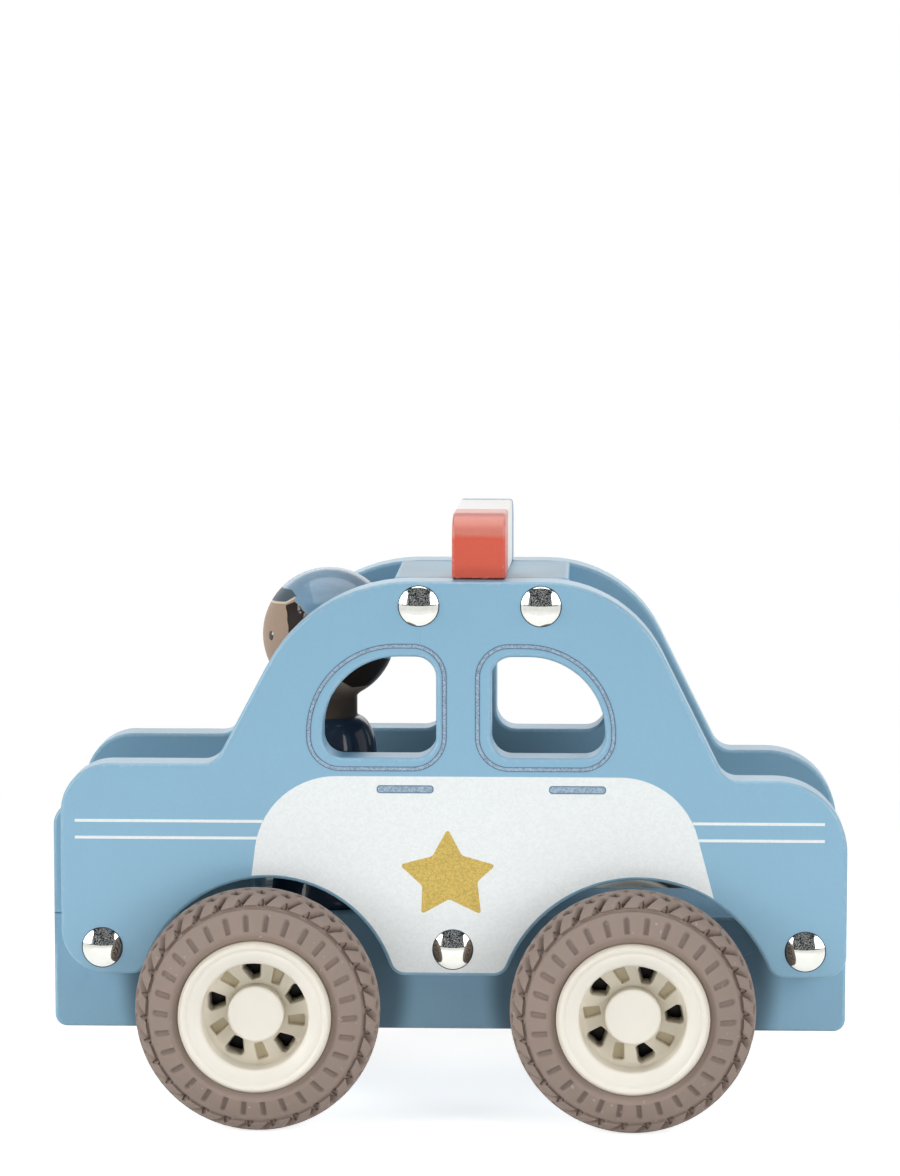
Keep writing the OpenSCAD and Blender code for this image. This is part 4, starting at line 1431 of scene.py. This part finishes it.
class TOYCAR_OT_driver(bpy.types.Operator):
    """Turned and painted peg driver with painted eyes"""

    bl_idname = "toycar.driver"
    bl_label = "Peg Driver"

    def execute(self, context):
        settings = context.scene.toy_car.driver
        r = settings.head_d / 2 / MM
        head_z = DRIVER_TOP - DRIVER_FOOT - r
        peg = (DRIVER_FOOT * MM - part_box("driver")[0].z) / MM
        bm = bmesh.new()
        turned(bm, driver_profile(r, head_z, peg), 96)
        body = finish_mesh("peg_driver_painted", bm, [driver_paint(settings)])
        body.data.transform(Matrix.Translation((DRIVER_X * MM, 0, DRIVER_FOOT * MM)))
        piece(body, "peg_driver", "driver_paint", "driver")
        centre = Matrix.Translation((DRIVER_X * MM, 0, (DRIVER_FOOT + head_z) * MM))
        # Each dot as its height and turn in degrees, and its half width, half height and lift in millimetres
        for name, tint, dot in (
            ("driver_eyes", settings.eye, (1.5, 32.8, 1.0, 1.05, 0.1)),
            # The glints are painted highlights on the eyes.
            ("driver_eye_glints", srgb(235, 232, 226), (3.6, 36.2, 0.3, 0.34, 0.16)),
        ):
            bm = bmesh.new()
            for side in (1, -1):
                painted_dot(bm, r, side, *dot)
            made, _, shader = material(f"{name}_paint")
            film(shader, tint, 0.03, 0.03, 0.7, 0.05)
            obj = finish_mesh(name, bm, [made])
            obj.data.transform(centre)
            piece(obj, "peg_driver", "driver_paint")
        return {"FINISHED"}


# Stage


def background_mask(tree):
    """1 for camera, glossy and transmission rays."""
    path = tree.nodes.new("ShaderNodeLightPath").outputs
    seen = larger(path["Is Camera Ray"], path["Is Glossy Ray"])
    return larger(seen, path["Is Transmission Ray"])


def floor_paint(tint):
    """Matt floor near the car that fades to plain white further out."""
    made = bpy.data.materials.new("studio_floor")
    tree = empty_tree(made)
    seen = background_mask(tree)
    fade = ramp(length_of(place(tree)), 0.14, 0.42, smooth=True)
    matt = node(tree, "ShaderNodeBsdfDiffuse", {"Color": tint})
    lift = node(tree, "ShaderNodeEmission", {"Strength": times(seen, 0.72)})
    near = node(tree, "ShaderNodeAddShader", {0: matt.outputs[0], 1: lift.outputs[0]})
    white = node(tree, "ShaderNodeEmission", {"Strength": 1.0})
    lit = node(tree, "ShaderNodeMixShader", {0: times(fade, seen), 1: near.outputs[0], 2: white.outputs[0]})
    node(tree, "ShaderNodeOutputMaterial", {"Surface": lit.outputs[0]})
    return made


def hide(obj, *rays):
    for kind in rays:
        setattr(obj, f"visible_{kind}", False)


# Lamps, as name, place, height looked at, width, height, power and the rays that miss them
LAMPS = (
    ("left_softbox", (1.67, 0.87, 0.75), 0.06, 1.2, 1.3, 27.0, ()),
    ("right_softbox", (-1.56, 1.05, 0.75), 0.06, 1.4, 1.3, 25.0, ()),
    ("back_strip", (0.0, -1.0, 0.45), 0.06, 1.6, 0.35, 2.4, ()),
    ("back_fill", (0.0, -1.0, 0.12), 0.06, 1.6, 0.2, 2.6, ("glossy",)),
    ("top_strip", (0.0, -0.25, 0.95), 0.06, 1.0, 0.3, 0.6, ()),
    ("top_softbox", (-0.04, 0.0, 0.95), 0.06, 1.0, 0.9, 9.0, ("diffuse", "camera")),
    ("low_fill", (0.0, 0.17, 0.025), 0.025, 0.3, 0.03, 0.06, ("camera", "glossy")),
)


def area_lamp(name, at, target_z, width, height, power, rays):
    data = bpy.data.lights.new(name, "AREA")
    data.shape = "RECTANGLE"
    data.size, data.size_y, data.energy = width, height, power
    lamp = add_object(name, data)
    lamp.location = at
    lamp.rotation_euler = (Vector((0, 0, target_z)) - Vector(at)).to_track_quat("-Z", "Y").to_euler()
    hide(lamp, *rays)


def dark_screen():
    """Speckled dark screen behind the camera and over the car, seen only in reflections."""
    bm = bmesh.new()
    reach, steps, across = 1.6, 24, 12
    grid = []
    for i in range(-2, steps + 1):
        rise = 2.0 + 61.0 * i / steps if i >= 0 else 1.9 + 4.1 * (i + 1)
        half = 40.0 - 0.1 * rise if i >= 0 else 60.0
        lift = math.radians(rise)
        row = []
        for j in range(across + 1):
            side = math.radians(1.0 + half * (2 * j / across - 1))
            out = reach * math.cos(side)
            row.append(bm.verts.new((reach * math.sin(side), out * math.cos(lift), 0.06 + out * math.sin(lift))))
        grid.append(row)
    for low, high in zip(grid, grid[1:]):
        for j in range(across):
            bm.faces.new((low[j], low[j + 1], high[j + 1], high[j]))
    made, tree, shader = material("screen_cloth")
    specks = ramp(noise(place(tree), 10.0, 1.0, 0.7), 0.46, 0.62)
    cloth = mix(specks, srgb(14, 20, 30), srgb(176, 178, 182))
    feed(shader, base_color=(0, 0, 0), emission_color=cloth, emission_strength=1.0, specular_ior_level=0.0)
    screen = finish_mesh("dark_screen", bm, [made])
    hide(screen, "camera", "diffuse", "shadow", "transmission")
    return screen


class TOYCAR_OT_stage(bpy.types.Operator):
    """Pale floor, soft lamps, white surroundings and the camera"""

    bl_idname = "toycar.stage"
    bl_label = "Stage"

    def execute(self, context):
        scene = context.scene
        settings = scene.toy_car.stage
        scene.view_settings.view_transform = "Standard"
        bm = bmesh.new()
        bmesh.ops.create_circle(bm, cap_ends=True, radius=6.0, segments=96)
        floor = finish_mesh("studio_floor", bm, [floor_paint(settings.floor)])
        scene.world = scene.world or bpy.data.worlds.new("studio")
        tree = empty_tree(scene.world)
        strength = ramp(background_mask(tree), 0, 1, 0.05, 1.0)
        sky = node(tree, "ShaderNodeBackground", {"Color": WHITE, "Strength": strength})
        node(tree, "ShaderNodeOutputWorld", {"Surface": sky.outputs[0]})
        for lamp in LAMPS:
            area_lamp(*lamp)
        dark_screen()
        data = bpy.data.cameras.new("photo_camera")
        data.sensor_width, data.lens = 36.0, settings.lens
        data.clip_start, data.clip_end = 0.01, 50.0
        camera = add_object("photo_camera", data)
        yaw, pitch = settings.yaw, settings.pitch
        ahead = Vector((math.sin(yaw) * math.cos(pitch), -math.cos(yaw) * math.cos(pitch), -math.sin(pitch)))
        right = Vector((-math.cos(yaw), -math.sin(yaw), 0))
        turn = Matrix((right, right.cross(ahead), -ahead)).transposed()
        camera.matrix_world = Matrix.Translation(settings.camera_at) @ turn.to_4x4()
        scene.camera = camera
        return {"FINISHED"}


class TOYCAR_PT_panel(bpy.types.Panel):
    """Lists the pieces of the toy car"""

    bl_idname = "TOYCAR_PT_panel"
    bl_label = "Toy Police Car"
    bl_space_type = "VIEW_3D"
    bl_region_type = "UI"
    bl_category = "Toy Car"

    def draw(self, context):
        for step in OPERATORS:
            self.layout.operator(step.bl_idname)
        for group in ToyCarSettings.__annotations__:
            box = self.layout.box()
            box.label(text=group.title())
            settings = getattr(context.scene.toy_car, group)
            for key in settings.__annotations__:
                box.prop(settings, key)


OPERATORS = (
    TOYCAR_OT_timber, TOYCAR_OT_light_bar, TOYCAR_OT_prints, TOYCAR_OT_nails,
    TOYCAR_OT_tyres, TOYCAR_OT_rims, TOYCAR_OT_driver, TOYCAR_OT_stage,
)
CLASSES = (
    TimberSettings, PrintSettings, WheelSettings, NailSettings, DriverSettings, StageSettings, ToyCarSettings,
    *OPERATORS, TOYCAR_PT_panel,
)


def register():
    for made in CLASSES:
        bpy.utils.register_class(made)
    bpy.types.Scene.toy_car = bpy.props.PointerProperty(
        type=ToyCarSettings, name="Toy Car", description="Sizes and colours of the toy police car"
    )


def unregister():
    del bpy.types.Scene.toy_car
    for made in reversed(CLASSES):
        bpy.utils.unregister_class(made)


def main():
    register()
    bpy.ops.toycar.timber()
    bpy.ops.toycar.light_bar()
    bpy.ops.toycar.prints()
    bpy.ops.toycar.nails()
    bpy.ops.toycar.tyres()
    bpy.ops.toycar.rims()
    bpy.ops.toycar.driver()
    bpy.ops.toycar.stage()


if __name__ == "__main__":
    main()
